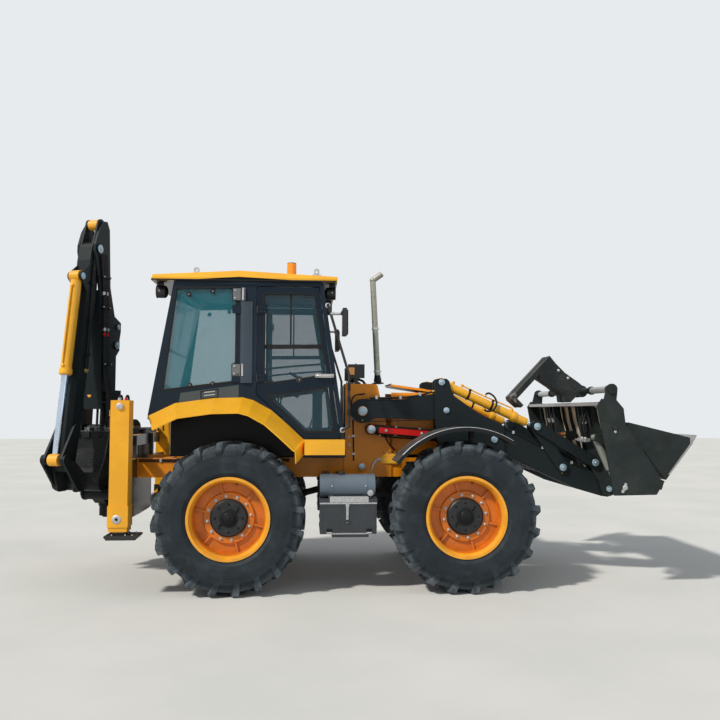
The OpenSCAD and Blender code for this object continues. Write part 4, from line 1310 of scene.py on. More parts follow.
@dataclass
class Wheels(Assembly):
    """Nuts, hub covers and valves of the four wheels."""

    nut_count: int = 12
    nut_circle: float = 200
    nut_size: float = 21
    nut_face: float = 84
    hub_face: float = 114

    def build(self) -> None:
        """Builds the fittings of each wheel."""
        for end in End:
            for side in Side:
                self.one(end, side)

    def one(self, end: End, side: Side) -> None:
        """Builds the fittings of one wheel.

        Args:
            end: Its axle.
            side: Its side.
        """
        name = f"{end.name.lower()}_{side.name.lower()}"
        fin = self.finishes
        piece = Shape(f"wheel_fittings_{name}", f"wheel_{name}", "steel", [fin.zinc, fin.black, fin.hose],
                      [wheel_space(end, side)])
        for x, z in around(self.nut_count, self.nut_circle, 8):
            piece.bolt((x, z, self.nut_face), (0, 0, 1), self.nut_size)
        for x, z in around(8, 126):
            piece.bolt((x, z, self.hub_face - 1), (0, 0, 1), 16, fin.black)
        cap = [(-2, 84), (8, 84), (12, 78), (12, 60), (26, 54), (32, 44), (33, 20), (36, 16), (36, 2)]
        piece.turned((0, 0, self.hub_face), (0, 0, 1), cap, fin.black, 32)
        for turn in (40, 220):
            x, z = around(1, 100, turn)[0]
            piece.bolt((x, z, self.hub_face - 1), (0, 0, 1), 22, fin.black)
        x, z = around(1, 316, 77)[0]
        piece.turned((x, z, 40), (0, 0, 1),
                     [(0, 11), (14, 10), (18, 6), (52, 5), (54, 7), (68, 7), (70, 4)], fin.hose, 12)
        piece.build()


@dataclass
class DriveLine(Assembly):
    """Axle covers, steering rams, shafts and the gearbox under the frame."""

    def build(self) -> None:
        """Builds what shows from below."""
        fin = self.finishes
        piece = Shape("axle_fittings", "machine", "cast_black", [fin.cast, fin.zinc, fin.chrome, fin.hose],
                      [FAR])
        for x in (-HALF_WHEELBASE, HALF_WHEELBASE):
            toward = -1 if x > 0 else 1
            for y in (-104, 76):
                piece.turned((x, y, AXLE_HEIGHT), (0, 1, 0), [(0, 196), (4, 201), (24, 201), (28, 196)],
                             fin.cast,
                             40)
                for a, b in around(16, 184):
                    piece.bolt((x + a, y if y < 0 else y + 28, AXLE_HEIGHT + b), (0, -1 if y < 0 else 1, 0),
                               14, fin.zinc)
            # Input flange of the axle, cover and plug
            nose = [(0, 96), (30, 92), (70, 66), (110, 60), (112, 72), (126, 72), (128, 58)]
            piece.turned((x + toward * 150, 0, AXLE_HEIGHT), (toward, 0, 0), nose, fin.cast, 28)
            piece.turned((x - toward * 176, 0, AXLE_HEIGHT), (-toward, 0, 0),
                         [(0, 120), (14, 118), (26, 90), (30, 30)], fin.cast, 28)
            # Steering ram across the axle
            back = x + toward * -118
            piece.rod((back, -210, 712), (back, 210, 712), 40, fin.cast)
            for y in (-1, 1):
                piece.rod((back, y * 205, 712), (back, y * 250, 712), 46, fin.cast)
                piece.rod((back, y * 245, 712), (back, y * 430, 712), 19, fin.chrome)
                piece.tube([(back, y * 180, 752), (back + 8, y * 200, 800), (back + 30, y * 240, 880),
                            (back + 40, y * 260, 1030)], 9, fin.hose)
            for y in (-150, 150):
                piece.box((min(back, x), y - 30, 690), (max(back, x), y + 30, 734), fin.cast)
        # Transmission and the two shafts that leave it
        profile = [(0, 90), (20, 150), (60, 168), (240, 168), (300, 140), (420, 120), (440, 80)]
        piece.turned((-190, 0, 940), (1, 0, 0), profile, fin.cast, 32)
        for x in (-150, -60, 40, 130):
            piece.turned((x, 0, 940), (1, 0, 0), [(0, 170), (4, 176), (14, 176), (18, 170)], fin.cast, 32)
        for start, end in (((205, 0, 880), (835, 0, 716)), ((-190, 0, 880), (-820, 0, 716))):
            piece.rod(start, end, 34, fin.cast)
            run = Vector(end) - Vector(start)
            for share in (0.04, 0.93):
                middle = Vector(start) + run * share
                piece.turned(middle, run, [(0, 40), (10, 58), (38, 58), (48, 40)], fin.cast, 20)
        piece.build()


QUARTER = [(-1776, 1868), (-1064, 1960), (-1064, 2880), (-1654, 2868)]
UPPER_PANE = [(-860, 1880), (-130, 1985), (-277, 2870), (-860, 2870)]
LOWER_PANE = [(-868, 1860), (-425, 1440), (-80, 1440), (-135, 1965)]


@dataclass
class Cab(Assembly):
    """Seals, hinges, handles, wipers, roof trim and lining of the cab."""

    outer: float = 800
    inner: float = 744
    pane: float = 770

    def build(self) -> None:
        """Builds the cab's trim."""
        self.windows()
        for side in Side:
            self.door(side)
        self.roof()
        self.body()

    def windows(self) -> None:
        """Seals, hinges and knobs of the fixed windows, and the wipers."""
        fin = self.finishes
        piece = Shape("window_seals", "machine", "black_plastic",
                      [fin.seal, fin.zinc, fin.plastic, fin.hinge, fin.sill, fin.post])
        piece.band(inset(QUARTER, -3), inset(QUARTER, 16), self.pane + 6, self.outer + 2)
        piece.band(inset(QUARTER, 0), inset(QUARTER, 14), self.inner - 2, self.pane)
        for z in (2010, 2741):
            piece.box((-1112, self.outer - 1, z), (-1000, self.outer + 12, z + 128), fin.hinge, 8)
            piece.box((-1030, self.outer - 1, z - 4), (-984, self.outer + 20, z + 132), fin.hinge, 8)
            for up in (28, 100):
                piece.bolt((-1084, self.outer + 11, z + up), (0, 1, 0), 15, fin.zinc)
            piece.rod((-1007, self.outer + 22, z + 6), (-1007, self.outer + 22, z + 122), 10, fin.zinc, 12)
        # Knobs that hold the pane shut
        for x, z in ((-1527, 2803), (-1298, 2834), (-1506, 1928), (-1291, 1942)):
            piece.turned((x, self.pane + 5, z), (0, 1, 0),
                         [(0, 24), (6, 24), (8, 14), (16, 14), (18, 19), (24, 17)], fin.plastic)
            piece.bolt((x, self.pane + 28, z), (0, 1, 0), 9, fin.zinc)
        # Grey sill under the pane with its vent
        piece.slab([(-1609, 1740), (-1040, 1790), (-1040, 1932), (-1590, 1852)], self.outer - 1,
                   self.outer + 3, fin.sill)
        piece.band([(-1402, 1788), (-1232, 1810), (-1232, 1896), (-1402, 1872)],
                   [(-1392, 1799), (-1242, 1818), (-1242, 1884), (-1392, 1863)], self.outer + 2,
                   self.outer + 6, fin.seal)
        for z in (1822, 1852):
            piece.slab([(-1368, z), (-1264, z + 13), (-1264, z + 23), (-1368, z + 10)], self.outer + 2,
                       self.outer + 8, fin.zinc)
        # Rounded cover of the post behind the door
        bulge = [(-1034 + 62 * (1 - math.cos(t)),
                  self.outer - 1 + 24 * math.sin(t)) for t in [math.pi * k / 10 for k in range(11)]]
        piece.loft([[(x, y, z) for x, y in bulge] for z in (1950, 2735)], fin.post)
        piece.build()
        front = slope_space((-60, 1421), (-262, 2849))
        edge = Shape("windscreen_trim", "machine", "black_plastic", [fin.seal, fin.plastic, fin.chrome],
                     [front])
        frame_line = [(2, -742), (1428, -742), (1428, 742), (2, 742)]
        edge.band(frame_line, inset(frame_line, 34), 5, 10, fin.seal, axis=2)
        edge.turned((70, -180, 4), (0, 0, 1), [(0, 34), (18, 32), (24, 20), (40, 18), (44, 10)], fin.plastic)
        edge.tube([(70, -180, 38), (240, -150, 44), (520, -40, 40), (760, 60, 30)], 7, fin.plastic)
        edge.box((470, -128, 12), (1120, -112, 26), fin.plastic)
        edge.box((500, -126, 7), (1100, -114, 14), fin.seal)
        edge.tube([(640, 8, 34), (720, -60, 32), (800, -118, 24)], 6, fin.plastic)
        edge.build()
        back = slope_space((-1846, 1754), (-1640, 2849))
        rear = Shape("rear_window_trim", "machine", "black_plastic", [fin.seal, fin.plastic, fin.zinc],
                     [back])
        frame_line = [(2, -742), (1102, -742), (1102, 742), (2, 742)]
        rear.band(frame_line, inset(frame_line, 30), -10, -5, fin.seal, axis=2)
        rear.box((520, -742, -12), (552, 742, -5), fin.seal)
        for y in (-420, 420):
            rear.turned((70, y, -5), (0, 0, -1),
                        [(0, 30), (12, 28), (16, 14), (34, 14), (38, 22), (46, 20)], fin.plastic)
            rear.box((1060, y - 40, -22), (1110, y + 40, -5), fin.zinc)
        rear.tube([(1040, -80, -30), (860, -60, -34), (640, -10, -26)], 6, fin.plastic)
        rear.box((560, -18, -24), (1000, -6, -8), fin.plastic)
        rear.turned((1052, -80, -4), (0, 0, -1), [(0, 34), (20, 32), (26, 18), (36, 16)], fin.plastic)
        rear.build()

    def door(self, side: Side) -> None:
        """Seals, hinges, lock, pull handle and window bar of one door.

        Args:
            side: The door's side.
        """
        fin = self.finishes
        name = side.name.lower()
        piece = Shape(f"door_trim_{name}", f"door_{name}", "black_plastic",
                      [fin.seal, fin.zinc, fin.plastic, fin.chrome], [SPACE_OF[side]])
        for outline, margin in ((UPPER_PANE, 48), (LOWER_PANE, 38)):
            piece.band(inset(outline, margin - 4), inset(outline, margin + 13), self.pane + 6, self.outer + 2)
            piece.band(inset(outline, margin - 2), inset(outline, margin + 10), self.inner - 1, self.pane)
        for z in (1960, 2620):
            piece.rod((-868, self.outer + 12, z + 2), (-868, self.outer + 12, z + 78), 8, fin.plastic, 12)
            for x in (-838, -802):
                for up in (20, 60):
                    piece.bolt((x, self.outer + 9, z + up), (0, 1, 0), 11, fin.plastic)
        # Pull handle with its lock, and the recess behind it
        piece.tube([(-300, self.outer + 9, 2022), (-290, self.outer + 34, 2023),
                    (-225, self.outer + 40, 2024),
                    (-160, self.outer + 34, 2023), (-148, self.outer + 9, 2022)], 8, fin.chrome)
        piece.turned((-463, self.outer - 34, 1985), (0, 1, 0),
                     [(0, 34), (34, 34), (38, 30), (38, 14), (42, 14), (42, 4)], fin.plastic)
        piece.box((-466, self.outer + 7, 1977), (-460, self.outer + 10, 1993), fin.zinc, 0.5)
        # Grab bar and catch inside
        piece.tube([(-800, self.inner - 1, 2080), (-790, self.inner - 40, 2090),
                    (-500, self.inner - 44, 2120),
                    (-250, self.inner - 40, 2140), (-240, self.inner - 1, 2145)], 10, fin.plastic)
        piece.box((-250, self.inner - 26, 1990), (-180, self.inner - 1, 2070), fin.plastic)
        # Sliding pane's bar across the upper window
        piece.slab([(-812, 2282), (-228, 2288), (-234, 2328), (-812, 2322)], self.pane - 6, self.pane + 12,
                   fin.seal)
        piece.slab([(-556, 2322), (-540, 2322), (-540, 2822), (-556, 2822)], self.pane - 6, self.pane + 10,
                   fin.seal)
        piece.build()

    def roof(self) -> None:
        """Gutters, lifting eyes, hatch and lining of the roof."""
        fin = self.finishes
        piece = Shape("roof_trim", "machine", "black_plastic", [fin.seal, fin.plastic, fin.zinc, fin.yellow])
        piece.slab([(-1880, 2932), (-110, 2932), (-104, 2946), (-1884, 2946)], 826, 834, fin.seal)
        for x in (-1465, -300):
            rim = [(x - 26, 2980), (x + 26, 2980), (x + 26, 3062), (x + 14, 3076), (x - 14, 3076),
                   (x - 26, 3062)]
            hole = [(x - 12, 3034), (x + 12, 3034), (x + 12, 3048), (x + 6, 3056), (x - 6, 3056),
                    (x - 12, 3048)]
            piece.band(rim, hole, 726, 744, fin.zinc)
            piece.slab([(x - 44, 2984), (x + 44, 2982), (x + 44, 3016), (x - 44, 3018)], 712, 758, fin.zinc)
        for x in (-1700, -1045, -480):
            piece.bolt((x, 770, 2998 if x != -1045 else 3012), (0, 0.5, 1), 16, fin.zinc)
        piece.build()
        top = Shape("roof_hatch", "machine", "yellow_paint",
                    [fin.yellow, fin.seal, fin.lining, fin.plastic], [FAR])
        top.slab([(-1380, 3028), (-1060, 3044), (-1060, 3058), (-1376, 3044)], -330, 330, fin.yellow, 6)
        top.slab([(-1384, 3022), (-1056, 3039), (-1056, 3044), (-1384, 3030)], -336, 336, fin.seal, 1)
        top.box((-1640, -700, 2918), (-280, 700, 2934), fin.lining, 6)
        top.box((-420, -560, 2880), (-300, 560, 2922), fin.plastic, 10)
        for y in (-420, -140, 140, 420):
            top.turned((-360, y, 2882), (0, 0, -1), [(0, 40), (6, 40), (8, 34), (8, 10)], fin.plastic)
        top.build()

    def body(self) -> None:
        """Floor mat, steps of the sill, and the bolts along each fender."""
        fin = self.finishes
        piece = Shape("cab_floor", "machine", "black_plastic", [fin.mat, fin.zinc, fin.plastic], [FAR])
        piece.box((-1690, -580, 1269), (-450, 580, 1277), fin.mat)
        for y in range(-540, 541, 60):
            piece.box((-1040, y - 8, 1276), (-470, y + 8, 1281), fin.mat, 1)
        piece.box((-400, -690, 1269), (-150, 690, 1277), fin.mat)
        for side in (-1, 1):
            piece.box((-400, min(side * 700, side * 790), 1269), (-40, max(side * 700, side * 790), 1275),
                      fin.zinc, 1)
            for x in range(-380, -50, 40):
                piece.box((x, min(side * 706, side * 784), 1274),
                          (x + 12, max(side * 706, side * 784), 1278), fin.zinc, 0.5)
        piece.build()
        strip = Shape("fender_trim", "machine", "yellow_paint", [fin.seal, fin.zinc, fin.black])
        for x, z in ((-1560, 1786), (-1300, 1820), (-1040, 1826), (-820, 1758), (-640, 1628), (-500, 1502)):
            strip.bolt((x, self.outer + 1, z - 34 if x > -900 else z - 30), (0, 1, 0), 14, fin.zinc)
        strip.build()


@dataclass
class Station(Assembly):
    """What the operator holds, reads and steps on."""

    def build(self) -> None:
        """Builds the controls."""
        fin = self.finishes
        piece = Shape("controls", "machine", "black_plastic",
                      [fin.plastic, fin.zinc, fin.chrome, fin.dial, fin.white, fin.hose], [FAR])
        tilt = FAR @ Matrix.Translation((-420, 0, 1985)) @ Matrix.Rotation(math.radians(30), 4, "Y")
        wheel = Shape("steering_wheel_trim", "machine", "black_plastic", [fin.plastic, fin.dial], [tilt])
        wheel.turned((0, 0, 4), (0, 0, 1), [(0, 52), (16, 52), (24, 44), (28, 20)], fin.plastic, 32)
        wheel.turned((0, 0, 28), (0, 0, 1), [(0, 30), (3, 28), (4, 10)], fin.dial, 24)
        wheel.box((-16, 20, 4), (16, 172, 18), fin.plastic, 4)
        wheel.turned((120, -120, 18), (0, 0, 1), [(0, 9), (22, 9), (26, 24), (44, 26), (54, 18), (56, 4)],
                     fin.plastic, 20)
        wheel.build()
        # Cowl of the dashboard with its round gauges
        piece.slab([(-345, 1850), (-215, 1850), (-205, 1990), (-240, 2030), (-330, 1975)], -240, 240,
                   fin.plastic, 14)
        for y in (-150, -50, 50, 150):
            piece.turned((-292, y, 1996), (-0.55, 0, 0.83), [(0, 38), (8, 38), (10, 33), (6, 32)], fin.zinc,
                         28)
            piece.turned((-292, y, 1996), (-0.55, 0, 0.83), [(4, 33), (7, 32), (7, 4)], fin.dial, 28)
            piece.box((-300, y - 2, 2002), (-296, y + 18, 2006), fin.white, 0.5)
        # Pedals
        for y in (-150, -60, 110, 170):
            piece.tube([(-330, y, 1600), (-380, y, 1450), (-420, y, 1360)], 8, fin.zinc)
            piece.box((-470, y - 32, 1330), (-400, y + 32, 1346), fin.hose, 4)
        # Side consoles with joysticks and rocker switches
        for side in (-1, 1):
            low, high = sorted((side * 300, side * 430))
            piece.box((-1080, low, 1560), (-620, high, 1700), fin.plastic, 16)
            piece.box((-1080, low + 20, 1276), (-960, high - 20, 1562), fin.plastic, 10)
            middle = side * 365
            piece.turned((-690, middle, 1698), (0, 0, 1), [(0, 38), (10, 34), (26, 20), (50, 14)], fin.hose,
                         20)
            grip = [(40, 9), (120, 9), (126, 20), (190, 24), (240, 22), (256, 12), (258, 3)]
            piece.turned((-690, middle, 1698), (0.12, 0, 1), grip, fin.plastic, 20)
            for x in (-1000, -950, -900, -850):
                piece.box((x, middle - 34, 1699), (x + 30, middle - 6, 1707), fin.white, 3)
                piece.box((x, middle + 6, 1699), (x + 30, middle + 34, 1707), fin.dial, 3)
        # Bellows under the seat, armrests and belt
        for i in range(5):
            z = 1500 + i * 24
            piece.box((-1070 + (i % 2) * 14, -215 + (i % 2) * 14, z),
                      (-730 - (i % 2) * 14, 215 - (i % 2) * 14, z + 22), fin.hose, 6)
        for side in (-1, 1):
            low, high = sorted((side * 245, side * 300))
            piece.box((-1060, low, 1880), (-740, high, 1925), fin.plastic, 14)
            piece.tube([(-1060, side * 250, 1800), (-1050, side * 270, 1860), (-1000, side * 272, 1882)],
                       12, fin.zinc)
        # Knobs on the rear levers, and a hand brake
        for y in (-180, -90, 90, 180):
            piece.turned((-1500, y, 1886), (0, 0, 1), [(-4, 12), (4, 22), (22, 27), (42, 20), (48, 6)],
                         fin.plastic, 20)
            piece.turned((-1500, y, 1699), (0, 0, 1), [(0, 30), (8, 28), (26, 13), (34, 10)], fin.hose, 20)
        piece.tube([(-700, -500, 1276), (-690, -500, 1420), (-640, -500, 1560), (-600, -500, 1640)], 11,
                   fin.zinc)
        piece.rod((-612, -500, 1610), (-580, -500, 1680), 17, fin.plastic)
        # Heater outlets on the front panel
        for y in (-480, -330, 330, 480):
            piece.box((-150, y - 55, 1430), (-118, y + 55, 1530), fin.plastic, 8)
            for z in range(1444, 1520, 18):
                piece.box((-158, y - 46, z), (-148, y + 46, z + 5), fin.dial, 1)
        piece.build()


@dataclass
class Seat(Assembly):
    """Cushion and back of the seat, pressed out of cloth."""

    voxel: float = 0.006
    cap: float = 0.026

    def build(self) -> None:
        """Builds both pads."""
        low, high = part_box("seat_cushions")
        split = FAR @ Vector((0, 0, 1740))
        cushion = self.pad("seat_cushion", Vector((low.x + 0.05, low.y, low.z)),
                           Vector((high.x, high.y, split.z)), True)
        back = self.pad("seat_back", Vector((low.x, low.y, split.z + 0.002)),
                        Vector((low.x + 0.12, high.y, high.z)), False)
        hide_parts("seat_cushions")

    def pad(self, name: str, low: Vector, high: Vector, flat: bool) -> bpy.types.Object:
        """Builds one pad.

        Args:
            name: Its name.
            low: Low corner of its room, in metres.
            high: High corner of its room.
            flat: Whether it lies, so that its channels run across the seat.

        Returns:
            The pad.
        """
        margin = 0.018
        part = bmesh.new()
        bmesh.ops.create_cube(part, size=1)
        size = high - low - Vector((margin, margin, margin)) * 2
        for vert in part.verts:
            vert.co = Vector([c * s for c, s in zip(vert.co, size)]) + (low + high) / 2
        bmesh.ops.bevel(part, geom=part.edges[:], offset=0.03, segments=4, affect="EDGES")
        mesh = bpy.data.meshes.new(name)
        part.to_mesh(mesh)
        part.free()
        pad = bpy.data.objects.new(name, mesh)
        bpy.context.scene.collection.objects.link(pad)
        remesh = pad.modifiers.new("even", "REMESH")
        remesh.mode = "VOXEL"
        remesh.voxel_size = self.voxel
        self.apply(pad)
        self.swell(pad)
        self.channels(pad, low, high, flat)
        finer = pad.modifiers.new("finer", "SUBSURF")
        finer.levels = finer.render_levels = 1
        self.apply(pad)
        for polygon in pad.data.polygons:
            polygon.use_smooth = True
        pad.data.materials.append(self.finishes.cloth)
        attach(pad, "machine")
        LOG.info("%s: %d faces", name, len(pad.data.polygons))
        return pad

    def apply(self, pad: bpy.types.Object) -> None:
        """Turns the pad's modifiers into its mesh.

        Args:
            pad: The pad.
        """
        shaped = pad.evaluated_get(bpy.context.evaluated_depsgraph_get())
        mesh = bpy.data.meshes.new_from_object(shaped)
        pad.modifiers.clear()
        pad.data = mesh

    def swell(self, pad: bpy.types.Object) -> None:
        """Blows the pad up as cloth for a few frames and limits how far each point moves.

        Args:
            pad: The pad.
        """
        start = [vert.co.copy() for vert in pad.data.vertices]
        cloth = pad.modifiers.new("cloth", "CLOTH")
        cloth.settings.use_pressure = True
        cloth.settings.uniform_pressure_force = 4
        cloth.settings.effector_weights.gravity = 0
        for number in range(1, 21):
            bpy.context.scene.frame_set(number)
        self.apply(pad)
        bpy.context.scene.frame_set(1)
        for vert, before in zip(pad.data.vertices, start):
            move = vert.co - before
            if move.length > self.cap:
                vert.co = before + move * (self.cap / move.length)

    def channels(self, pad: bpy.types.Object, low: Vector, high: Vector, flat: bool) -> None:
        """Presses sewn channels into the pad and keeps it in its room.

        Args:
            pad: The pad.
            low: Low corner of its room.
            high: High corner of its room.
            flat: Whether it lies.
        """
        middle = (low + high) / 2
        for vert in pad.data.vertices:
            co = vert.co
            across = (co.y - middle.y) / 0.052
            seam = math.exp(-(((across - round(across)) * 0.052) ** 2) / 0.00004)
            edge = math.exp(-((abs(co.y - middle.y) - 0.165) ** 2) / 0.00005)
            if abs(co.y - middle.y) > 0.15:
                seam = 0
            press = 0.008 * max(seam, edge)
            if flat and co.z > middle.z:
                co.z -= press
            elif not flat and co.x > middle.x:
                co.x -= press
            for i in range(3):
                co[i] = min(max(co[i], low[i]), high[i])


@dataclass
class Bonnet(Assembly):
    """Louvres, seams, latches and grille mesh of the bonnet."""

    half: float = 330

    TOP = ((480, 1962), (900, 1900), (1130, 1822), (1300, 1728), (1560, 1578), (1640, 1500))

    def height(self, x: float) -> float:
        """Height of the bonnet's top at that place ahead.

        Args:
            x: The place ahead, in millimetres.

        Returns:
            The height in millimetres.
        """
        low, high = next(pair for pair in zip(self.TOP, self.TOP[1:]) if x <= pair[1][0])
        (low_x, low_z), (high_x, high_z) = low, high
        return low_z + (high_z - low_z) * (x - low_x) / (high_x - low_x)

    def build(self) -> None:
        """Builds the bonnet's trim."""
        fin = self.finishes
        piece = Shape("bonnet_trim", "bonnet", "orange_paint", [fin.orange, fin.seal, fin.zinc, fin.plastic])
        for top in (1700, 1560, 1420):
            for i in range(10):
                x = 640 + i * 74
                if x < 1080 or top + 66 > self.height(x + 52):
                    continue
                piece.slab([(x, top - 44), (x + 52, top - 44), (x + 52, top + 44), (x, top + 44)],
                           self.half - 1, self.half + 1.2, fin.plastic, 0.5)
                piece.slab([(x, top - 40), (x + 12, top - 40), (x + 12, top + 40), (x, top + 40)],
                           self.half, self.half + 9, fin.orange, 2)
                piece.slab([(x + 26, top - 40), (x + 38, top - 40), (x + 38, top + 40), (x + 26, top + 40)],
                           self.half, self.half + 9, fin.orange, 2)
        for x in (620, 1420):
            piece.box((x, self.half, 1262), (x + 34, self.half + 12, 1330), fin.seal, 3)
            piece.bolt((x + 17, self.half + 10, 1276), (0, 1, 0), 12, fin.zinc)
        piece.build()
        front = Shape("grille_trim", "bonnet", "black_paint",
                      [fin.black, fin.plastic, fin.zinc, fin.seal, fin.orange], [FAR])
        for y in range(-260, 261, 20):
            front.box((1648, y - 2, 1306), (1652, y + 2, 1472), fin.plastic, 0.5)
        front.band([(-300, 1282), (300, 1282), (300, 1488), (-300, 1488)],
                   [(-284, 1296), (284, 1296), (284, 1474), (-284, 1474)], 1664, 1674, fin.black, axis=0)
        front.tube([(1596, -70, 1540), (1618, -66, 1562), (1622, 0, 1566), (1618, 66, 1562),
                    (1596, 70, 1540)], 7, fin.zinc)
        front.slab([(470, 1956), (486, 1962), (486, 1970), (470, 1966)], -270, 270, fin.seal, 1)
        # Raised lids on the bonnet's top
        front.slab([(560, 1944), (860, 1904), (860, 1916), (560, 1957)], -170, 60, fin.orange, 4)
        front.turned((1000, 150, 1860), (0.3, 0, 1), [(0, 44), (8, 44), (10, 36), (24, 36), (28, 22)],
                     fin.seal)
        front.build()


@dataclass
class Towers(Assembly):
    """Pin heads, lamps' fittings, hoses and fillers on the frame."""

    def build(self) -> None:
        """Builds the fittings of the frame."""
        fin = self.finishes
        piece = Shape("tower_fittings", "machine", "steel",
                      [fin.pin, fin.zinc, fin.hose, fin.black, fin.brass, fin.yellow])
        for x, z, radius in ((170, 1684, 44), (256, 1500, 38)):
            piece.turned((x, 526, z), (0, 1, 0), [(0, radius), (5, radius), (8, radius - 4), (8, 12)],
                         fin.pin, 32)
            piece.bolt((x, 533, z), (0, 1, 0), 22, fin.zinc)
        # Pin of the brake bracket low on the frame, and the valves beside it
        piece.turned((169, 429, 1125), (0, 1, 0), [(0, 32), (5, 32), (7, 28), (7, 5)], fin.pin, 28)
        piece.bolt((169, 435, 1125), (0, 1, 0), 18, fin.zinc)
        piece.box((362, 388, 1150), (548, 418, 1222), fin.yellow, 5)
        piece.slab([(362, 1222), (548, 1222), (536, 1250), (404, 1252)], 392, 414, fin.yellow, 4)
        for k in range(3):
            x = 396 + k * 52
            piece.turned((x, 404, 1246), (0, 0, 1),
                         [(0, 13), (10, 13), (12, 10), (24, 10), (26, 12), (34, 12)], fin.brass, 6)
        for k in range(2):
            piece.tube([(366 + 8 * k, 410, 1196), (330, 411, 1204 - 20 * k), (286, 411, 1150 - 16 * k),
                        (262, 410, 1080), (256, 402, 1050)], 7, fin.zinc)
        piece.tube([(500, 404, 1270), (494, 408, 1300), (452, 411, 1344), (420, 411, 1400),
                    (404, 408, 1440)], 8, fin.hose)
        # Black hose that climbs the tower and runs round the arm's pivot
        piece.tube([(88, 411, 1180), (84, 411, 1400), (76, 411, 1640), (62, 411, 1760), (96, 411, 1838),
                    (200, 411, 1860)], 7, fin.hose)
        for z in (1240, 1420, 1600):
            piece.box((70, 403, z), (100, 421, z + 22), fin.zinc, 3)
        # Ribs and bolts of the tower
        for z in (1340, 1420, 1860, 1920):
            piece.bolt((40, 403, z), (0, 1, 0), 18, fin.zinc)
        piece.slab([(-12, 1290), (0, 1290), (0, 1950), (-12, 1950)], 403, 424, fin.black, 2)
        # Bundle of hoses that leaves the frame for the loader
        for i in range(4):
            y = 250 + i * 26
            piece.tube([(60, y, 1955), (66, y, 1990), (110, y, 2012), (180, y, 1996), (210, y, 1962)], 10,
                       fin.hose)
            piece.turned((60, y, 1950), (0, 0, 1), [(0, 15), (18, 15), (20, 12), (30, 12)], fin.brass, 6)
            piece.turned((210, y, 1950), (0, 0, 1), [(0, 15), (14, 15), (16, 12), (22, 12)], fin.brass, 6)
        # Rail side: welded pads, bolts and pipes
        bolted_pads = (-1500, -900, 620)
        # The lowered arms pass close to these two pads
        plain_pads = (900, 1300)
        for x in (*bolted_pads, *plain_pads):
            piece.box((x, 389, 1060), (x + 90, 397, 1170), fin.black, 3)
            if x in bolted_pads:
                for dx in (20, 70):
                    piece.bolt((x + dx, 396, 1090), (0, 1, 0), 18, fin.zinc)
                    piece.bolt((x + dx, 396, 1140), (0, 1, 0), 18, fin.zinc)
        for z in (1196, 1180):
            piece.tube([(-2050, 396, z), (-1700, 396, z), (-900, 396, z), (-560, 396, z)], 6, fin.black)
        for x in (-1850, -1300, -700):
            piece.box((x, 389, 1170), (x + 22, 404, 1206), fin.zinc, 2)
        piece.build()
        lamps = Shape("tower_lamps", "machine", "lamp_plastic", [fin.lens, fin.amber, fin.plastic, fin.zinc])
        lamps.box((186, 351, 2027), (194, 404, 2153), fin.lens, 3)
        lamps.box((30, 404, 2050), (96, 414, 2130), fin.amber, 4)
        lamps.band([(345, 2020), (410, 2020), (410, 2160), (345, 2160)],
                   [(353, 2028), (402, 2028), (402, 2152), (353, 2152)], 186, 197, fin.plastic, axis=0)
        lamps.bolt((110, 378, 2159), (0, 0, 1), 16, fin.zinc)
        lamps.tube([(60, 378, 2022), (50, 372, 1990), (56, 360, 1962)], 5, fin.plastic)
        lamps.build()


@dataclass
class LampFaces(Assembly):
    """Lenses, rims and cages of the work lamps and the beacon."""

    def build(self) -> None:
        """Builds the faces of the lamps."""
        fin = self.finishes
        piece = Shape("work_lamp_faces", "machine", "lamp_plastic",
                      [fin.lens, fin.plastic, fin.zinc, fin.chrome])
        for x, way in ((-1860, 1), (-115, -1)):
            face = x
            piece.turned((face + way * 2, 620, 2850), (-way, 0, 0), [(0, 63), (6, 64), (8, 60), (3, 56)],
                         fin.plastic,
                         32)
            piece.turned((face + way * 2, 620, 2850), (-way, 0, 0), [(1, 55), (5, 50), (8, 30), (9, 4)],
                         fin.lens,
                         32)
            piece.turned((x + way * 78, 620, 2850), (way, 0, 0), [(0, 61), (14, 52), (24, 34), (26, 8)],
                         fin.plastic,
                         28)
            for z in (-24, 24):
                piece.bolt((x + way * 30, 620 + (58 if z > 0 else -58), 2850), (0, 1 if z > 0 else -1, 0),
                           14, fin.zinc)
        piece.build()
        dome = Shape("beacon_trim", "machine", "lamp_plastic", [fin.amber, fin.plastic, fin.zinc], [FAR])
        for x, y in around(24, 46.2):
            dome.rod((-554 + x, -300 + y, 3080), (-554 + x, -300 + y, 3196), 2.2, fin.amber, 6)
        dome.turned((-554, -300, 3074), (0, 0, 1), [(0, 54), (8, 54), (12, 49), (16, 48)], fin.plastic, 32)
        for x, y in around(3, 50, 30):
            dome.bolt((-554 + x, -300 + y, 3036), (x, y, 0), 9, fin.zinc)
        dome.build()


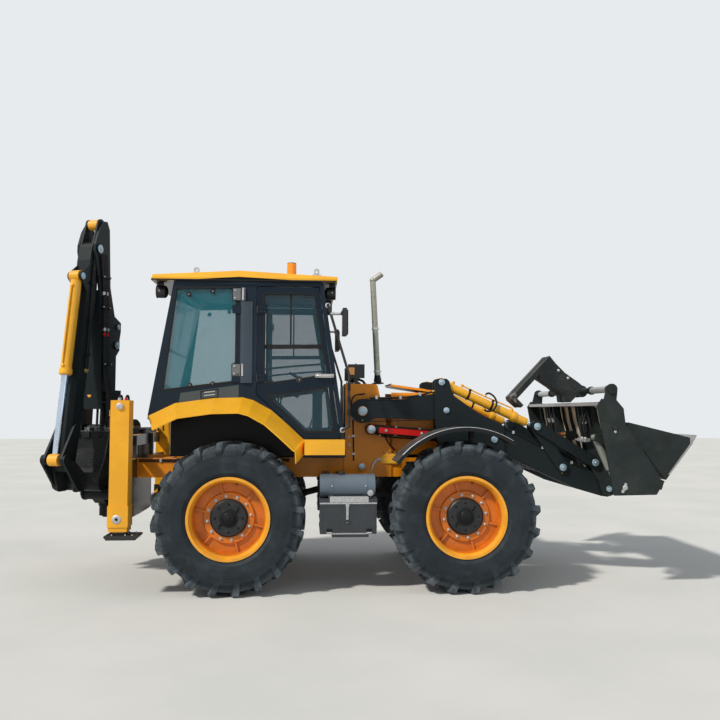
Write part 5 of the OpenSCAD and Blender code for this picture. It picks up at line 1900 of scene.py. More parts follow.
@dataclass
class Mirrors(Assembly):
    """Glass, brackets and clamps of the mirrors and grab rails."""

    def build(self) -> None:
        """Builds what the mirrors and rails carry."""
        fin = self.finishes
        piece = Shape("mirror_trim", "machine", "black_plastic",
                      [fin.mirror, fin.plastic, fin.zinc, fin.seal])
        glass = [(892, 2409), (1058, 2409), (1058, 2636), (892, 2636)]
        piece.slab(inset(glass, 4), -54, -49, fin.mirror, 1, axis=0)
        piece.band(inset(glass, -12), inset(glass, 6), -57, -48, fin.plastic, axis=0)
        piece.slab([(886, 2402), (1064, 2402), (1050, 2640), (900, 2640)], -16, -4, fin.plastic, 10, axis=0)
        piece.turned((-32, 975, 2640), (0, 0, 1), [(-6, 20), (10, 20), (14, 14), (22, 12)], fin.plastic)
        # Clamps of the rails
        for x, z in ((-190, 2706), (-45, 1500)):
            piece.turned((x, 799, z), (0, 1, 0), [(0, 26), (8, 26), (10, 18), (26, 17)], fin.zinc, 20)
        for z in (1640, 1760, 1880):
            piece.turned((15, 850, z), (0, 0, 1), [(0, 15.5), (60, 15.5)], fin.seal, 16)
        piece.turned((-140, 850, 2620), (1, 0, 0), [(-24, 16), (10, 16), (12, 13), (90, 13)], fin.zinc, 16)
        piece.build()


@dataclass
class Exhaust(Assembly):
    """Foot flange and clamps of the exhaust."""

    def build(self) -> None:
        """Builds the parts round the pipe."""
        fin = self.finishes
        piece = Shape("exhaust_trim", "machine", "rod_chrome", [fin.pipe, fin.zinc, fin.black], [NEAR])
        foot, bend = Vector((342, 300, 1962)), Vector((290, 300, 3044))
        run = bend - foot
        piece.turned(foot, run, [(0, 62), (12, 62), (14, 40), (60, 38), (66, 33), (90, 33)], fin.black, 28)
        for x, y in around(4, 50, 45):
            piece.bolt((foot.x + x, foot.y + y, foot.z + 10), (0, 0, 1), 13, fin.zinc)
        for share in (0.11, 0.52):
            piece.turned(foot + run * share, run, [(0, 31), (1, 35), (22, 35), (23, 31)], fin.zinc, 28)
            piece.bolt(foot + run * (share + 0.01) + Vector((34, 0, 0)), (1, 0, 0), 10, fin.zinc)
        piece.build()


@dataclass
class SideBoxes(Assembly):
    """Latch, straps, cap, chequer plates and steps of the tank and tool boxes."""

    def build(self) -> None:
        """Builds the fittings of the boxes."""
        fin = self.finishes
        piece = Shape("side_box_trim", "machine", "steel",
                      [fin.zinc, fin.seal, fin.boxes, fin.plastic, fin.black])
        # Straps and cap of the tank
        for x in (-150, 165):
            ring = [(110 * math.cos(t),
                     110 * math.sin(t)) for t in [math.radians(a) for a in range(-60, 241, 20)]]
            piece.loft([[(x - 13, 900 + a, 980 + b), (x + 13, 900 + a, 980 + b),
                         (x + 13, 900 + a * 1.02, 980 + b * 1.02),
                         (x - 13, 900 + a * 1.02, 980 + b * 1.02)] for a, b in ring], fin.boxes, 0)
            piece.bolt((x, 1012, 985), (0, 1, 0), 12, fin.zinc)
        piece.turned((200, 986, 920), (0.3, 1, 0),
                     [(0, 24), (20, 24), (22, 30), (36, 30), (39, 24), (39, 6)], fin.zinc, 24)
        piece.turned((-60, 900, 1086), (0, 0, 1), [(0, 40), (6, 40), (8, 32), (24, 32), (28, 24), (30, 6)],
                     fin.plastic, 28)
        for x in (-262, 256):
            piece.turned((x, 900, 980), (1 if x > 0 else -1, 0, 0),
                         [(-4, 108), (4, 104), (10, 84), (11, 20)], fin.black, 36)
        # Step over the tool box
        piece.box((-170, 985, 838), (190, 1046, 889), fin.zinc, 3)
        for x in range(-158, 176, 26):
            piece.box((x, 992, 888), (x + 14, 1038, 893), fin.zinc, 1)
        # Lid, latch and hinges of the tool box
        piece.band([(-250, 560), (252, 560), (252, 818), (-250, 818)],
                   [(-236, 574), (238, 574), (238, 804), (-236, 804)], 1039, 1043, fin.boxes)
        piece.box((-19, 1039, 650), (5, 1050, 812), fin.zinc, 3)
        piece.box((-14, 1049, 700), (0, 1056, 780), fin.zinc, 3)
        piece.box((-24, 1039, 800), (10, 1054, 822), fin.zinc, 3)
        piece.box((-262, 1036, 822), (268, 1046, 836), fin.zinc, 3)
        piece.turned((-7, 1050, 668), (0, 1, 0), [(0, 14), (7, 14), (9, 10), (9, 3)], fin.plastic)
        for x in (-200, 170):
            piece.box((x, 1039, 556), (x + 50, 1048, 596), fin.black, 3)
            piece.rod((x, 1046, 560), (x + 50, 1046, 560), 7, fin.zinc, 12)
        # Lower step with its tread, and pressed ribs on the ends
        piece.box((-150, 1000, 548), (190, 1056, 556), fin.zinc, 1)
        for x in range(-140, 185, 24):
            piece.box((x, 1006, 555), (x + 12, 1050, 560), fin.zinc, 1)
        for z in (600, 680, 760):
            piece.box((-267, 740, z), (-261, 1010, z + 16), fin.boxes, 3)
            piece.box((264, 740, z), (270, 1010, z + 16), fin.boxes, 3)
        piece.build()


@dataclass
class Loader(Assembly):
    """Pin heads, hoses, pipes, strut and grease points of the loader."""

    def disc_head(self, piece: Shape, x: float, y: float, z: float, radius: float) -> None:
        """Adds the pale head of a pin with its bolt.

        Args:
            piece: The piece that takes it.
            x: Its place ahead.
            y: The face that it sits on.
            z: Its height.
            radius: Its radius.
        """
        fin = self.finishes
        piece.turned((x, y - 1, z), (0, 1, 0), [(0, radius), (4, radius), (6, radius - 3), (6, 6)], fin.pin,
                     32)
        piece.bolt((x, y + 4, z), (0, 1, 0), radius * 0.55, fin.zinc)
        for dx, dz in around(2, radius * 0.68, 25):
            piece.turned((x + dx, y + 4, z + dz), (0, 1, 0), [(0, 3), (3, 3), (4, 2)], fin.zinc, 8)

    def build(self) -> None:
        """Builds the loader's fittings."""
        fin = self.finishes
        skins = [fin.pin, fin.zinc, fin.hose, fin.black, fin.brass]
        arms = Shape("arm_fittings", "loader_arms", "steel", skins)
        for x, z, radius in ((967, 1973, 32), (1013, 1691, 30)):
            self.disc_head(arms, x, 551, z, radius)
        arms.turned((1500, 550, 1400), (0, 1, 0), [(0, 34), (3, 34), (5, 30), (5, 6)], fin.pin, 32)
        # Hoses on the upper edge, their clamps, and the block they end in
        for y in (446, 470, 494):
            arms.tube([(250, y, 1815), (420, y, 1816), (600, y, 1822), (780, y, 1850), (880, y, 1880)], 10,
                      fin.hose)
            arms.turned((880, y, 1880), (1, 0, 0.4), [(-4, 13), (16, 13), (18, 11), (30, 11)], fin.brass, 6)
        for x, z in ((300, 1803), (540, 1803), (740, 1838)):
            arms.box((x, 428, z), (x + 24, 512, z + 32), fin.zinc, 3)
            arms.bolt((x + 12, 458, z + 30), (0, 0, 1), 12, fin.zinc)
        # Weld beads and grease points along the arm's side
        for (x0, z0), (x1, z1) in (((200, 1575), (905, 1600)), ((215, 1795), (560, 1795))):
            arms.rod((x0, 515, z0), (x1, 515, z1), 4, fin.black, 8)
        for x, z in ((170, 1590), (2199, 1060), (2671, 990)):
            arms.turned((x, 514, z), (0, 1, 0), [(0, 7), (5, 7), (6, 3), (14, 3), (15, 5), (17, 4)],
                        fin.brass, 10)
        # Pipe along the arm's front half
        arms.tube([(1560, 519, 1540), (1760, 519, 1440), (2050, 519, 1290), (2330, 519, 1150),
                   (2450, 519, 1092)], 7, fin.black)
        for x, z in ((1700, 1470), (2000, 1316), (2300, 1164)):
            arms.box((x - 12, 513, z - 14), (x + 12, 528, z + 14), fin.zinc, 2)
        arms.build()
        tube = Shape("arm_tube_fittings", "loader_arms", "charcoal_paint",
                     [fin.charcoal, fin.zinc, fin.hose], [FAR])
        for y in (-300, -100, 100, 300):
            tube.turned((1985, y, 1130), (0, 1, 0), [(0, 66), (1, 69), (18, 69), (19, 66)], fin.charcoal, 32)
        tube.box((1900, -90, 1120), (1930, 90, 1190), fin.charcoal, 3)
        tube.tube([(1985, -360, 1206), (1985, -120, 1210), (1985, 120, 1210), (1985, 360, 1206)], 9, fin.hose)
        tube.build()
        self.levers()
        self.cylinders()

    def levers(self) -> None:
        """Heads of the pins of the levers and links."""
        fin = self.finishes
        skins = [fin.pin, fin.zinc, fin.hose, fin.black]
        levers = Shape("lever_fittings", "bucket_levers", "steel", skins)
        self.disc_head(levers, 1933, 585, 1530, 36)
        self.disc_head(levers, 2199, 555, 1118, 36)
        levers.build()
        links = Shape("link_fittings", "bucket_links", "steel", skins)
        self.disc_head(links, 2525, 585, 1168, 36)
        links.build()
        bucket = Shape("hitch_fittings", "loader_bucket", "steel", skins)
        self.disc_head(bucket, 2671, 557, 901, 30)
        bucket.build()

    def cylinders(self) -> None:
        """Pipes, glands and the safety strut on the cylinders."""
        fin = self.finishes
        base, eye = Vector((967, 470, 1973)), Vector((1933, 470, 1530))
        run = (eye - base).normalized()
        up = Vector((-run.z, 0, run.x))
        tilt = Shape("tilt_cylinder_fittings", "tilt_barrels", "yellow_paint",
                     [fin.yellow, fin.zinc, fin.hose, fin.black, fin.brass])
        tilt.turned(base + run * 800, run, [(0, 52), (3, 54), (42, 54), (46, 51)], fin.yellow, 32)
        tilt.turned(base + run * 856, run, [(0, 44), (100, 44), (104, 40), (116, 40), (120, 30)],
                    fin.yellow, 32)
        for share in (120, 780):
            tilt.turned(base + run * share, up, [(40, 18), (58, 18), (60, 14), (70, 14)], fin.yellow, 20)
        tilt.tube([base + run * 780 + up * 66, base + run * 740 + up * 72, base + run * 460 + up * 64,
                   base + run * 220 + up * 66], 8, fin.yellow)
        tilt.turned(base + run * 214 + up * 52, up, [(0, 14), (26, 14), (28, 10)], fin.yellow, 16)
        side = Vector((0, 1, 0))
        tilt.turned(base + run * 470 + up * 60, up, [(0, 13), (16, 13), (18, 11), (30, 11)], fin.brass, 6)
        tilt.tube([base + run * 470 + up * 84, base + run * 500 + up * 112,
                   base + run * 560 + up * 96 + side * 30,
                   base + run * 600 + up * 40 + side * 62, base + run * 596 - up * 30 + side * 64,
                   base + run * 552 - up * 66 + side * 40, base + run * 520 - up * 62], 10, fin.hose, steps=8)
        tilt.turned(base + run * 520 - up * 40, -up, [(0, 15), (24, 15), (26, 11)], fin.yellow, 12)
        for share in (300, 560):
            tilt.turned(base + run * share, run, [(0, 44), (0.5, 48), (20, 48), (20.5, 44)], fin.black, 32)
            tilt.box(base + run * (share + 10) + up * 58 - Vector((12, 14, 12)),
                     base + run * (share + 10) + up * 58 + Vector((12, 14, 12)), fin.black, 3)
        tilt.build()
        low, high = Vector((256, 470, 1500)), Vector((1500, 470, 1400))
        way = (high - low).normalized()
        over = Vector((-way.z, 0, way.x))
        lift = Shape("lift_cylinder_fittings", "lift_barrels", "black_paint",
                     [fin.black, fin.zinc, fin.hose, fin.brass])
        lift.turned(low + way * 846, way, [(0, 57), (3, 60), (40, 60), (44, 56)], fin.black, 32)
        lift.tube([low + way * 100 - over * 56, low + way * 200 - over * 62, low + way * 520 - over * 60,
                   low + way * 800 - over * 60], 8, fin.black)
        for share in (96, 800):
            lift.turned(low + way * share, -over, [(44, 18), (58, 18), (62, 12)], fin.brass, 16)
        for share in (240, 480, 700):
            lift.turned(low + way * share, way, [(0, 49), (0.5, 53), (22, 53), (22.5, 49)], fin.zinc, 32)
        lift.build()
        # Red strut that blocks the raised arms, in its channel on the near cylinder
        strut = Shape("safety_strut", "lift_barrels", "steel", [fin.red, fin.black, fin.zinc], [NEAR])
        corners = [low + way * 78 + over * 34, low + way * 582 + over * 34, low + way * 582 - over * 30,
                   low + way * 78 - over * 30]
        strut.slab([(c.x, c.z) for c in corners], 519, 530, fin.red, 3)
        for at, lift_by in ((34, 1), (-30, -1)):
            ends = [low + way * 74 + over * (at + 6 * lift_by), low + way * 586 + over * (at + 6 * lift_by),
                    low + way * 586 + over * at, low + way * 74 + over * at]
            strut.slab([(c.x, c.z) for c in ends], 500, 536, fin.black, 2)
        for share in (150, 510):
            spot = low + way * share
            strut.bolt((spot.x, 529, spot.z), (0, 1, 0), 20, fin.zinc)
        strut.build()


@dataclass
class Bucket(Assembly):
    """Ribs, dusty sheets with painted light, blade bolts, hoses and couplings of the loader bucket."""

    BACK = ((2475, 1770), (2500, 1600), (2555, 1400), (2615, 1215), (2700, 1070))

    def build(self) -> None:
        """Builds the fittings of the bucket."""
        fin = self.finishes
        piece = Shape("bucket_ribs", "loader_bucket", "charcoal_paint", [fin.bucket, fin.sheet, fin.zinc])
        line = list(self.BACK)
        for y in (-6, 214, 662, 740, 1000):
            outline = line + [(x - 34, z - 12) for x, z in reversed(line)]
            piece.slab(outline, y, y + 14, fin.bucket, 1)
        # Dusty sheets between the ribs; their near-white colour is partly painted light against the shade
        # inside the bucket's back
        for low, high in ((14, 208), (234, 356), (600, 656), (682, 734), (760, 812), (950, 994),
                          (1020, 1130)):
            outline = [(x - 3, z - 1) for x, z in line] + [(x + 2, z + 1) for x, z in reversed(line)]
            piece.slab(outline, low, high, fin.sheet, 0)
        for y in (120, 290, 640, 760, 960, 1080):
            piece.bolt((2470, y, 1738), (0, 0, -1), 20, fin.zinc)
        piece.build()
        blade = Shape("blade_bolts", "loader_bucket", "steel", [fin.zinc, fin.bucket, fin.ruby])
        for y in range(120, 1100, 160):
            blade.turned((2868, y, 988), (0.25, 0, 1), [(-6, 18), (4, 18), (7, 13), (7, 3)], fin.zinc, 20)
        # The red disc on the side plate uses the glowing red lens material: a painted glow on a part that is
        # no lamp.
        for x, z, radius, skin in ((2580, 972, 24, fin.zinc), (2497, 1492, 13, fin.zinc),
                                   (2497, 1536, 13, fin.ruby)):
            blade.turned((x, 1174, z), (0, 1, 0),
                         [(0, radius), (6, radius), (9, radius - 4), (9, radius * 0.5)], skin, 24)
        blade.slab([(2540, 930), (2566, 922), (2602, 1010), (2580, 1018)], 1173, 1178, fin.zinc, 2)
        # Guards beside the blade's ends and rim bars on the side plates
        blade.slab([(2340, 1726), (2388, 1796), (2376, 1804), (2328, 1732)], 1150, 1180, fin.bucket, 2)
        blade.build()
        clam = Shape("clam_fittings", "bucket_clam", "steel", [fin.zinc, fin.clam])
        for y in range(110, 1100, 165):
            clam.turned((3238, y, 1388), (0.78, 0, -0.62), [(-6, 17), (5, 17), (8, 12), (8, 3)], fin.zinc, 20)
        for y in (280, 620, 960):
            clam.slab([(2980, 1046), (3236, 1384), (3222, 1330), (3040, 1090)], y, y + 14, fin.clam, 1)
        clam.build()
        self.hoses()

    def hoses(self) -> None:
        """Couplings in the middle of the back and the hoses to the clam's cylinders."""
        fin = self.finishes
        piece = Shape("bucket_hoses", "loader_bucket", "black_plastic",
                      [fin.hose, fin.zinc, fin.brass, fin.black, fin.red])
        for k in range(2):
            x, y = 2452 - 10 * k, 470 + 110 * k
            piece.tube([(x, y, 1420), (x - 34, y + 6, 1500), (x - 30, y + 20, 1620), (x - 8, y + 44, 1684),
                        (x - 10, y + 70, 1640),
                        (x + 6, y + 76, 1540), (x + 26, y + 66, 1450), (x + 34, y + 40, 1400)], 10, fin.hose)
            for z, turn in ((1420, -1), (1560, 1)):
                piece.turned((x - 14, y + 4, z), (-0.3, 0, turn),
                             [(0, 17), (16, 17), (18, 13), (34, 13), (36, 16), (46, 16)], fin.zinc, 6)
            piece.box((x - 60, y - 20, 1376), (x + 30, y + 16, 1412), fin.zinc, 4)
            piece.turned((x - 92, y - 2, 1394), (1, 0, 0), [(0, 12), (26, 12), (28, 18), (44, 18)],
                         fin.zinc, 12)
        piece.box((2400, 8, 1378), (2520, 70, 1470), fin.black, 6)
        for z in (1400, 1440):
            piece.turned((2402, 36, z), (-1, 0, 0),
                         [(0, 17), (14, 17), (16, 12), (40, 12), (42, 15), (52, 15)], fin.brass, 16)
            piece.turned((2352, 36, z), (-1, 0, 0), [(0, 13), (8, 13), (10, 8)], fin.red, 16)
        piece.build()


@dataclass
class Forks(Assembly):
    """Collars, stops and pins of the pallet forks on their shaft."""

    def build(self) -> None:
        """Builds the fittings of the forks."""
        fin = self.finishes
        shaft = Shape("fork_shaft_fittings", "loader_bucket", "steel", [fin.orange, fin.zinc, fin.black])
        for y in (620, 1090):
            shaft.turned((2475, y, 1892), (0, 1, 0), [(0, 34), (2, 42), (34, 42), (36, 34)], fin.black, 28)
        shaft.turned((2475, 1174, 1892), (0, 1, 0), [(0, 34), (10, 32), (12, 20), (13, 6)], fin.orange, 28)
        shaft.turned((2475, 665, 1892), (0, 1, 0), [(0, 31), (2, 33), (415, 33), (417, 31)], fin.zinc, 28)
        shaft.build()
        forks = Shape("fork_fittings", "pallet_forks", "charcoal_paint", [fin.forks, fin.zinc], [FAR])
        for y in (-360, -210):
            for z, x in ((2030, 2330), (2110, 2230)):
                forks.bolt((x, y + 119, z), (0, 1, 0), 22, fin.zinc)
                forks.bolt((x, y + 1, z), (0, -1, 0), 22, fin.zinc)
            forks.turned((2475, y - 8, 1892), (0, 1, 0), [(0, 50), (4, 62), (12, 62), (12, 50)], fin.forks,
                         32)
            forks.turned((2475, y + 116, 1892), (0, 1, 0), [(0, 50), (4, 62), (10, 62), (12, 50)],
                         fin.forks, 32)
        forks.build()


@dataclass
class DiggingArm(Assembly):
    """Hoses, couplings, reflectors, pin heads and pipes of the digging arm."""

    @property
    def skins(self) -> list[bpy.types.Material]:
        """The materials that its pieces share."""
        fin = self.finishes
        return [fin.hose, fin.zinc, fin.brass, fin.red, fin.white, fin.black, fin.amber, fin.pin]

    def build(self) -> None:
        """Builds the digging arm's fittings."""
        self.boom()
        self.dipper()
        self.post()
        self.rams()

    def boom(self) -> None:
        """Hoses, clamps, reflectors and pin heads of the boom."""
        fin = self.finishes
        piece = Shape("boom_fittings", "boom", "black_plastic", self.skins, [ARM])
        for x, y in ((196, 30), (214, -4), (250, 24), (228, 62), (262, 84), (206, 104)):
            short = [(x, y, 1530), (x + 4, y + 4, 1600), (x - 6, y, 1700), (x + 6, y - 4, 1800), (x, y, 1900)]
            piece.tube(short, 12, fin.hose)
        for k in range(4):
            x = 210 + k * 27
            climb = [(x - 10, 160, 1600), (x - 4, 186, 1640), (x, 194, 1760), (x, 150, 1960),
                     (x + 4, 126, 2100), (x + 16, 124, 2600), (x + 40, 124, 2950), (x + 74, 126, 3200),
                     (x + 96, 132, 3330)]
            piece.tube(climb, 11, fin.hose)
            for z, skin in ((2470, fin.red), (2520, fin.zinc), (2900, fin.zinc)):
                shift = 8 if z < 2600 else 38
                piece.turned((x + shift, 124, z), (0, 0, 1), [(0, 14), (3, 17), (34, 17), (37, 14)],
                             skin if k % 2 else fin.black, 16)
        for z in (1620, 2160, 2760, 3080):
            low = 110 if z > 1900 else 180
            shift = 0 if z < 2500 else 44
            piece.box((190 + shift, low, z), (320 + shift, low + 36, z + 26), fin.black, 3)
            piece.bolt((198 + shift, low + 34, z + 13), (0, 1, 0), 14, fin.zinc)
            piece.bolt((312 + shift, low + 34, z + 13), (0, 1, 0), 14, fin.zinc)
        for side in (-1, 1):
            for x, z, y, radius in ((400, 3380, 122, 46), (60, 2390, 122, 40), (150, 800, 190, 36),
                                    (40, 2590, 120, 28)):
                piece.turned((x, side * (y - 1), z), (0, side, 0),
                             [(0, radius), (4, radius), (6, radius - 4), (6, 5)], fin.pin, 30)
                piece.bolt((x, side * (y + 4), z), (0, side, 0), 20, fin.zinc)
        # The reflectors take the glowing amber lens material: a painted glow of reflected light.
        for z in (1850, 2890):
            face = 301 if z < 2000 else 372
            piece.box((face - 30, -74, z - 40), (face + 3, -6, z + 40), fin.white, 3)
            piece.turned((face, -40, z), (1, 0, 0), [(-20, 26), (5, 26), (7, 22), (7, 4)], fin.amber, 24)
        piece.build()

    def dipper(self) -> None:
        """Hoses, pin heads and pipes of the dipper."""
        fin = self.finishes
        piece = Shape("dipper_fittings", "dipper", "black_plastic", self.skins, [ARM])
        for k in range(2):
            x = 470 + k * 26
            piece.tube([(x - 60, 84, 3300), (x - 26, 92, 3160), (x - 10, 90, 2900), (x + 20, 88, 2500),
                        (x + 60, 88, 2100)], 9, fin.hose)
            piece.turned((x + 60, 88, 2100), (0.1, 0, -1), [(-8, 13), (14, 13), (16, 10), (26, 10)],
                         fin.brass, 6)
        for z, x in ((3000, 448), (2600, 470), (2250, 500)):
            piece.box((x - 10, 77, z), (x + 64, 104, z + 22), fin.black, 3)
        for side in (-1, 1):
            for x, z, y, radius in ((735, 1130, 79, 26), (700, 1500, 79, 24), (620, 3060, 78, 36)):
                piece.turned((x, side * (y - 1), z), (0, side, 0),
                             [(0, radius), (3, radius), (4, radius - 4), (4, 5)], fin.pin, 28)
        # Wear strips and weld beads down the faces
        for side in (-1, 1):
            piece.rod((406, side * 78, 2870), (608, side * 78, 1570), 4, fin.black, 8)
            piece.rod((546, side * 78, 2870), (730, side * 78, 1570), 4, fin.black, 8)
        piece.build()

    def post(self) -> None:
        """Bolts, hoses and grease points of the kingpost and carriage."""
        fin = self.finishes
        piece = Shape("kingpost_fittings", "kingpost", "black_paint", self.skins, [ARM])
        for z in (548, 1240):
            piece.turned((0, 0, z if z < 600 else 1241), (0, 0, 1), [(-6, 40), (2, 44), (4, 40)], fin.zinc,
                         28)
        for side in (-1, 1):
            piece.turned((60, side * 84, 1330), (0, side, 0), [(0, 36), (5, 36), (7, 30), (7, 5)], fin.pin,
                         28)
            piece.bolt((60, side * 90, 1330), (0, side, 0), 18, fin.zinc)
        piece.build()
        frame_piece = Shape("carriage_fittings", "carriage", "black_paint", self.skins, [FAR])
        for y in (90, 610):
            for z in (660, 820, 1100, 1400):
                frame_piece.bolt((-2331, y, z), (-1, 0, 0), 26, fin.zinc)
            frame_piece.box((-2342, y - 26, 1040), (-2329, y + 26, 1090), fin.black, 4)
        for k in range(6):
            y = 180 + k * 60
            frame_piece.tube([(-2240, y, 1498), (-2242, y, 1540), (-2290, y + 6, 1580),
                              (-2340, 330 + k * 10, 1520),
                              (-2360, 326 + k * 12, 1380), (-2352, 330 + k * 10, 1200)], 11, fin.hose)
            frame_piece.turned((-2240, y, 1495), (0, 0, 1), [(0, 17), (14, 17), (16, 13), (30, 13)],
                               fin.red if k % 2 else fin.brass, 12)
        frame_piece.build()

    def rams(self) -> None:
        """Glands, bands and feed pipes of the three cylinders."""
        fin = self.finishes
        table = (
            ("boom_barrel", (60, 1330), (60, 2390), 950, fin.black),
            ("dipper_barrel", (40, 2590), (330, 3655), 610, fin.yellow),
            ("bucket_barrel", (620, 3060), (880, 1200), 1030, fin.yellow),
        )
        for body, base, eye, length, paint in table:
            start, end = Vector((base[0], 0, base[1])), Vector((eye[0], 0, eye[1]))
            run = (end - start).normalized()
            out = Vector((abs(run.z), 0, -run.x * (1 if run.z > 0 else -1)))
            piece = Shape(f"{body}_fittings", body, "yellow_paint", [paint, *self.skins], [ARM])
            piece.turned(start + run * (length - 62), run, [(0, 62), (3, 65), (50, 65), (54, 61)], paint, 32)
            if body != "dipper_barrel":
                piece.turned(start + run * (length - 2), run, [(0, 46), (8, 44), (10, 36.5)], fin.zinc, 28)
            if body == "bucket_barrel":
                piece.tube([start + run * 120 + out * 64, start + run * 300 + out * 68,
                            start + run * 700 + out * 68,
                            start + run * (length - 90) + out * 64], 8, paint)
                for share in (110, length - 90):
                    piece.turned(start + run * share, out, [(50, 18), (68, 18), (72, 12)], paint, 16)
            for share in (0.4, 0.7):
                piece.turned(start + run * length * share, run, [(0, 54), (0.5, 56), (10, 56), (10.5, 54)],
                             paint, 32)
            piece.build()


@dataclass
class DiggingBucket(Assembly):
    """Side cutters, tooth pins and ribs of the digging bucket."""

    def build(self) -> None:
        """Builds the bucket's wear parts."""
        fin = self.finishes
        piece = Shape("digging_bucket_fittings", "digging_bucket", "charcoal_paint", [fin.digger, fin.zinc],
                      [ARM])
        for i in range(-2, 3):
            y = i * 120
            piece.slab([(352, 1405), (398, 1405), (396, 1468), (354, 1468)], y - 38, y + 38, fin.digger, 4)
            piece.turned((375, y - 42, 1440), (0, 1, 0), [(0, 8), (84, 8)], fin.zinc, 12)
        for side in (-1, 1):
            low, high = sorted((side * 279, side * 288))
            piece.slab([(352, 1180), (400, 1200), (410, 1330), (392, 1440), (362, 1440)], low, high,
                       fin.digger, 2)
            for z in (1230, 1310, 1390):
                piece.bolt((380, side * 287, z), (0, side, 0), 20, fin.zinc)
        piece.build()


@dataclass
class Stabilizers(Assembly):
    """Pads, hoses, caps and pins of the stabilizers and their boxes."""

    leg: float = 1060

    def build(self) -> None:
        """Builds the fittings of both sides."""
        fin = self.finishes
        piece = Shape("stabilizer_box_fittings", "machine", "yellow_paint",
                      [fin.yellow, fin.zinc, fin.hose, fin.red, fin.black, fin.ruby, fin.amber, fin.plastic])
        piece.turned((-2072, 1156, 1723), (0, 1, 0), [(0, 30), (5, 30), (7, 26), (7, 5)], fin.zinc, 28)
        piece.turned((-2080, self.leg + 92, 712), (0, 1, 0), [(0, 40), (4, 40), (7, 36), (7, 15), (5, 15)],
                     fin.zinc, 32)
        piece.bolt((-2080, self.leg + 97, 712), (0, 1, 0), 18, fin.black)
        # Hoses with coloured caps over the box
        for k, x in enumerate((-2110, -2050)):
            piece.tube([(x, 1010, 1776), (x, 1006, 1800), (x, 960, 1822), (x, 900, 1790), (x, 880, 1600),
                        (x, 872, 1450)], 10, fin.hose)
            piece.turned((x, 1010, 1772), (0, 0, 1), [(0, 16), (16, 16), (18, 12), (30, 12)],
                         fin.red if k else fin.zinc,
                         12)
        # Rear lamps on the boxes
        piece.box((-2168, 1010, 1500), (-2154, 1110, 1700), fin.plastic, 5)
        piece.box((-2176, 1018, 1632), (-2166, 1102, 1692), fin.amber, 4)
        piece.box((-2176, 1018, 1508), (-2166, 1102, 1624), fin.ruby, 4)
        # Gussets between box and beam
        for z in (750, 1440):
            piece.slab([(-2150, z), (-2110, z), (-2110, z + 40)], 900, 976, fin.yellow, 1)
        # Beam bolts
        for y in (200, 420, 640, 860):
            for z in (695, 1385):
                piece.bolt((-2151, y, z), (-1, 0, 0), 22, fin.zinc)
        piece.build()
        for side in Side:
            self.leg_piece(side)

    def leg_piece(self, side: Side) -> None:
        """Ribs and pins of one foot.

        Args:
            side: Its side.
        """
        fin = self.finishes
        name = side.name.lower()
        piece = Shape(f"foot_fittings_{name}", f"stabilizer_{name}", "yellow_paint",
                      [fin.black, fin.zinc, fin.digger], [SPACE_OF[side]])
        for x in (-2140, -2010):
            piece.slab([(985, 569), (1135, 569), (1118, 596), (1002, 596)], x, x + 12, fin.digger, 1, axis=0)
        piece.rod((-2150, 1060, 586), (-1990, 1060, 586), 16, fin.zinc)
        for y in (970, 1150):
            for x in (-2120, -2000, -1940):
                piece.bolt((x, y, 569), (0, 0, 1), 14, fin.zinc)
        piece.build()


@dataclass
class Guards(Assembly):
    """Bolts and edge beads of the front mudguards."""

    def build(self) -> None:
        """Builds the fittings of both mudguards."""
        fin = self.finishes
        for side in Side:
            name = side.name.lower()
            piece = Shape(f"mudguard_fittings_{name}", f"knuckle_front_{name}", "black_paint",
                          [fin.black, fin.zinc, fin.pin], [SPACE_OF[side]])
            rim = [(HALF_WHEELBASE + 831 * math.cos(math.radians(a)),
                    AXLE_HEIGHT + 831 * math.sin(math.radians(a))) for a in range(58, 140, 6)]
            piece.tube([(x, 1146, z) for x, z in rim], 4, fin.zinc, 8, 2)
            for y in (740, 800):
                piece.bolt((1225, y, 1512), (0, 0, -1), 18, fin.zinc)
            for z in (700, 745):
                piece.bolt((1244, 700, z), (1, 0, 0), 20, fin.zinc)
            piece.build()


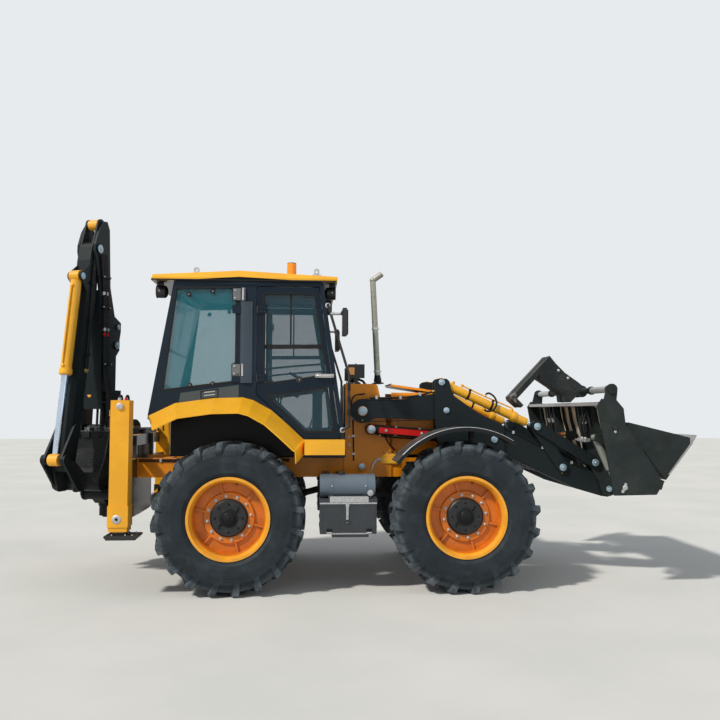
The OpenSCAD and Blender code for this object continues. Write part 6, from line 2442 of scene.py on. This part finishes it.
@dataclass
class Studio:
    """Camera, floor and lights, with the sizes that the view was fitted with."""

    focal: float = 38.75
    place: tuple[float, float, float] = (-0.5296, -8.287, 1.679)
    yaw: float = 3.845
    pitch: float = 3.80
    roll: float = -0.083
    floor_half: float = 40
    sky_strength: float = 0.38
    sky: Colour = (0.92, 0.96, 1.0)
    backdrop: Colour = (0.80, 0.83, 0.85)

    def build(self) -> None:
        """Builds the whole studio."""
        self.camera()
        self.floor()
        self.lights()
        bpy.context.scene.view_settings.view_transform = "Standard"

    def camera(self) -> None:
        """Creates the camera at the photographed angle."""
        data = bpy.data.cameras.new("camera")
        data.lens = self.focal
        data.sensor_width = 36
        made = bpy.data.objects.new("camera", data)
        made.location = self.place
        made.rotation_euler = (math.radians(90 + self.pitch), math.radians(self.roll),
                               math.radians(-self.yaw))
        bpy.context.scene.collection.objects.link(made)
        bpy.context.scene.camera = made

    def floor(self) -> None:
        """Lays the pale floor."""
        graph = Graph("studio_floor")
        cloud = graph.noise(0.6, 4)
        tone = graph.mix(cloud.ramp(0.3, 0.7), (0.60, 0.61, 0.60), (0.66, 0.66, 0.65))
        material = graph.surface({"Base Color": tone, "Roughness": 0.92})
        part = bmesh.new()
        bmesh.ops.create_grid(part, x_segments=1, y_segments=1, size=self.floor_half)
        mesh = bpy.data.meshes.new("studio_floor")
        part.to_mesh(mesh)
        part.free()
        mesh.materials.append(material)
        made = bpy.data.objects.new("studio_floor", mesh)
        bpy.context.scene.collection.objects.link(made)

    def lights(self) -> None:
        """Sets the even sky and two soft lamps."""
        world = bpy.data.worlds.new("sky")
        bpy.context.scene.world = world
        world.use_nodes = True
        tree = world.node_tree
        tree.nodes.clear()
        path = tree.nodes.new("ShaderNodeLightPath")
        seen = path.outputs["Is Camera Ray"]
        for ray in ("Is Glossy Ray", "Is Transmission Ray"):
            either = tree.nodes.new("ShaderNodeMath")
            either.operation = "MAXIMUM"
            tree.links.new(seen, either.inputs[0])
            tree.links.new(path.outputs[ray], either.inputs[1])
            seen = either.outputs[0]
        even, plain = (tree.nodes.new("ShaderNodeBackground") for _ in range(2))
        for light, colour, strength in ((even, self.sky, self.sky_strength), (plain, self.backdrop, 1.0)):
            light.inputs[0].default_value = (*colour, 1)
            light.inputs[1].default_value = strength
        blend = tree.nodes.new("ShaderNodeMixShader")
        out = tree.nodes.new("ShaderNodeOutputWorld")
        tree.links.new(seen, blend.inputs[0])
        tree.links.new(even.outputs[0], blend.inputs[1])
        tree.links.new(plain.outputs[0], blend.inputs[2])
        tree.links.new(blend.outputs[0], out.inputs[0])
        for name, strength, spread, turn, tint in (
            ("key", 3.1, 4, (46, 0, -52), (1.0, 0.95, 0.86)),
            ("fill", 0.35, 60, (60, 0, 60), (0.9, 0.95, 1.0)),
        ):
            data = bpy.data.lights.new(name, "SUN")
            data.energy = strength
            data.angle = math.radians(spread)
            data.color = tint
            lamp = bpy.data.objects.new(name, data)
            lamp.rotation_euler = [math.radians(a) for a in turn]
            bpy.context.scene.collection.objects.link(lamp)


def main() -> None:
    """Builds the studio, dresses the frame and adds every sub-assembly."""
    Studio().build()
    finishes = Finishes()
    finishes.dress()
    for kind in (
        Wheels, DriveLine, Cab, Station, Seat, Bonnet, Towers, LampFaces, Mirrors, Exhaust, SideBoxes,
        Loader, Bucket, Forks, DiggingArm, DiggingBucket, Stabilizers, Guards,
    ):
        kind(finishes).build()
        LOG.info("%s done", kind.__name__)


if __name__ == "__main__":
    logging.basicConfig(level=logging.INFO)
    main()
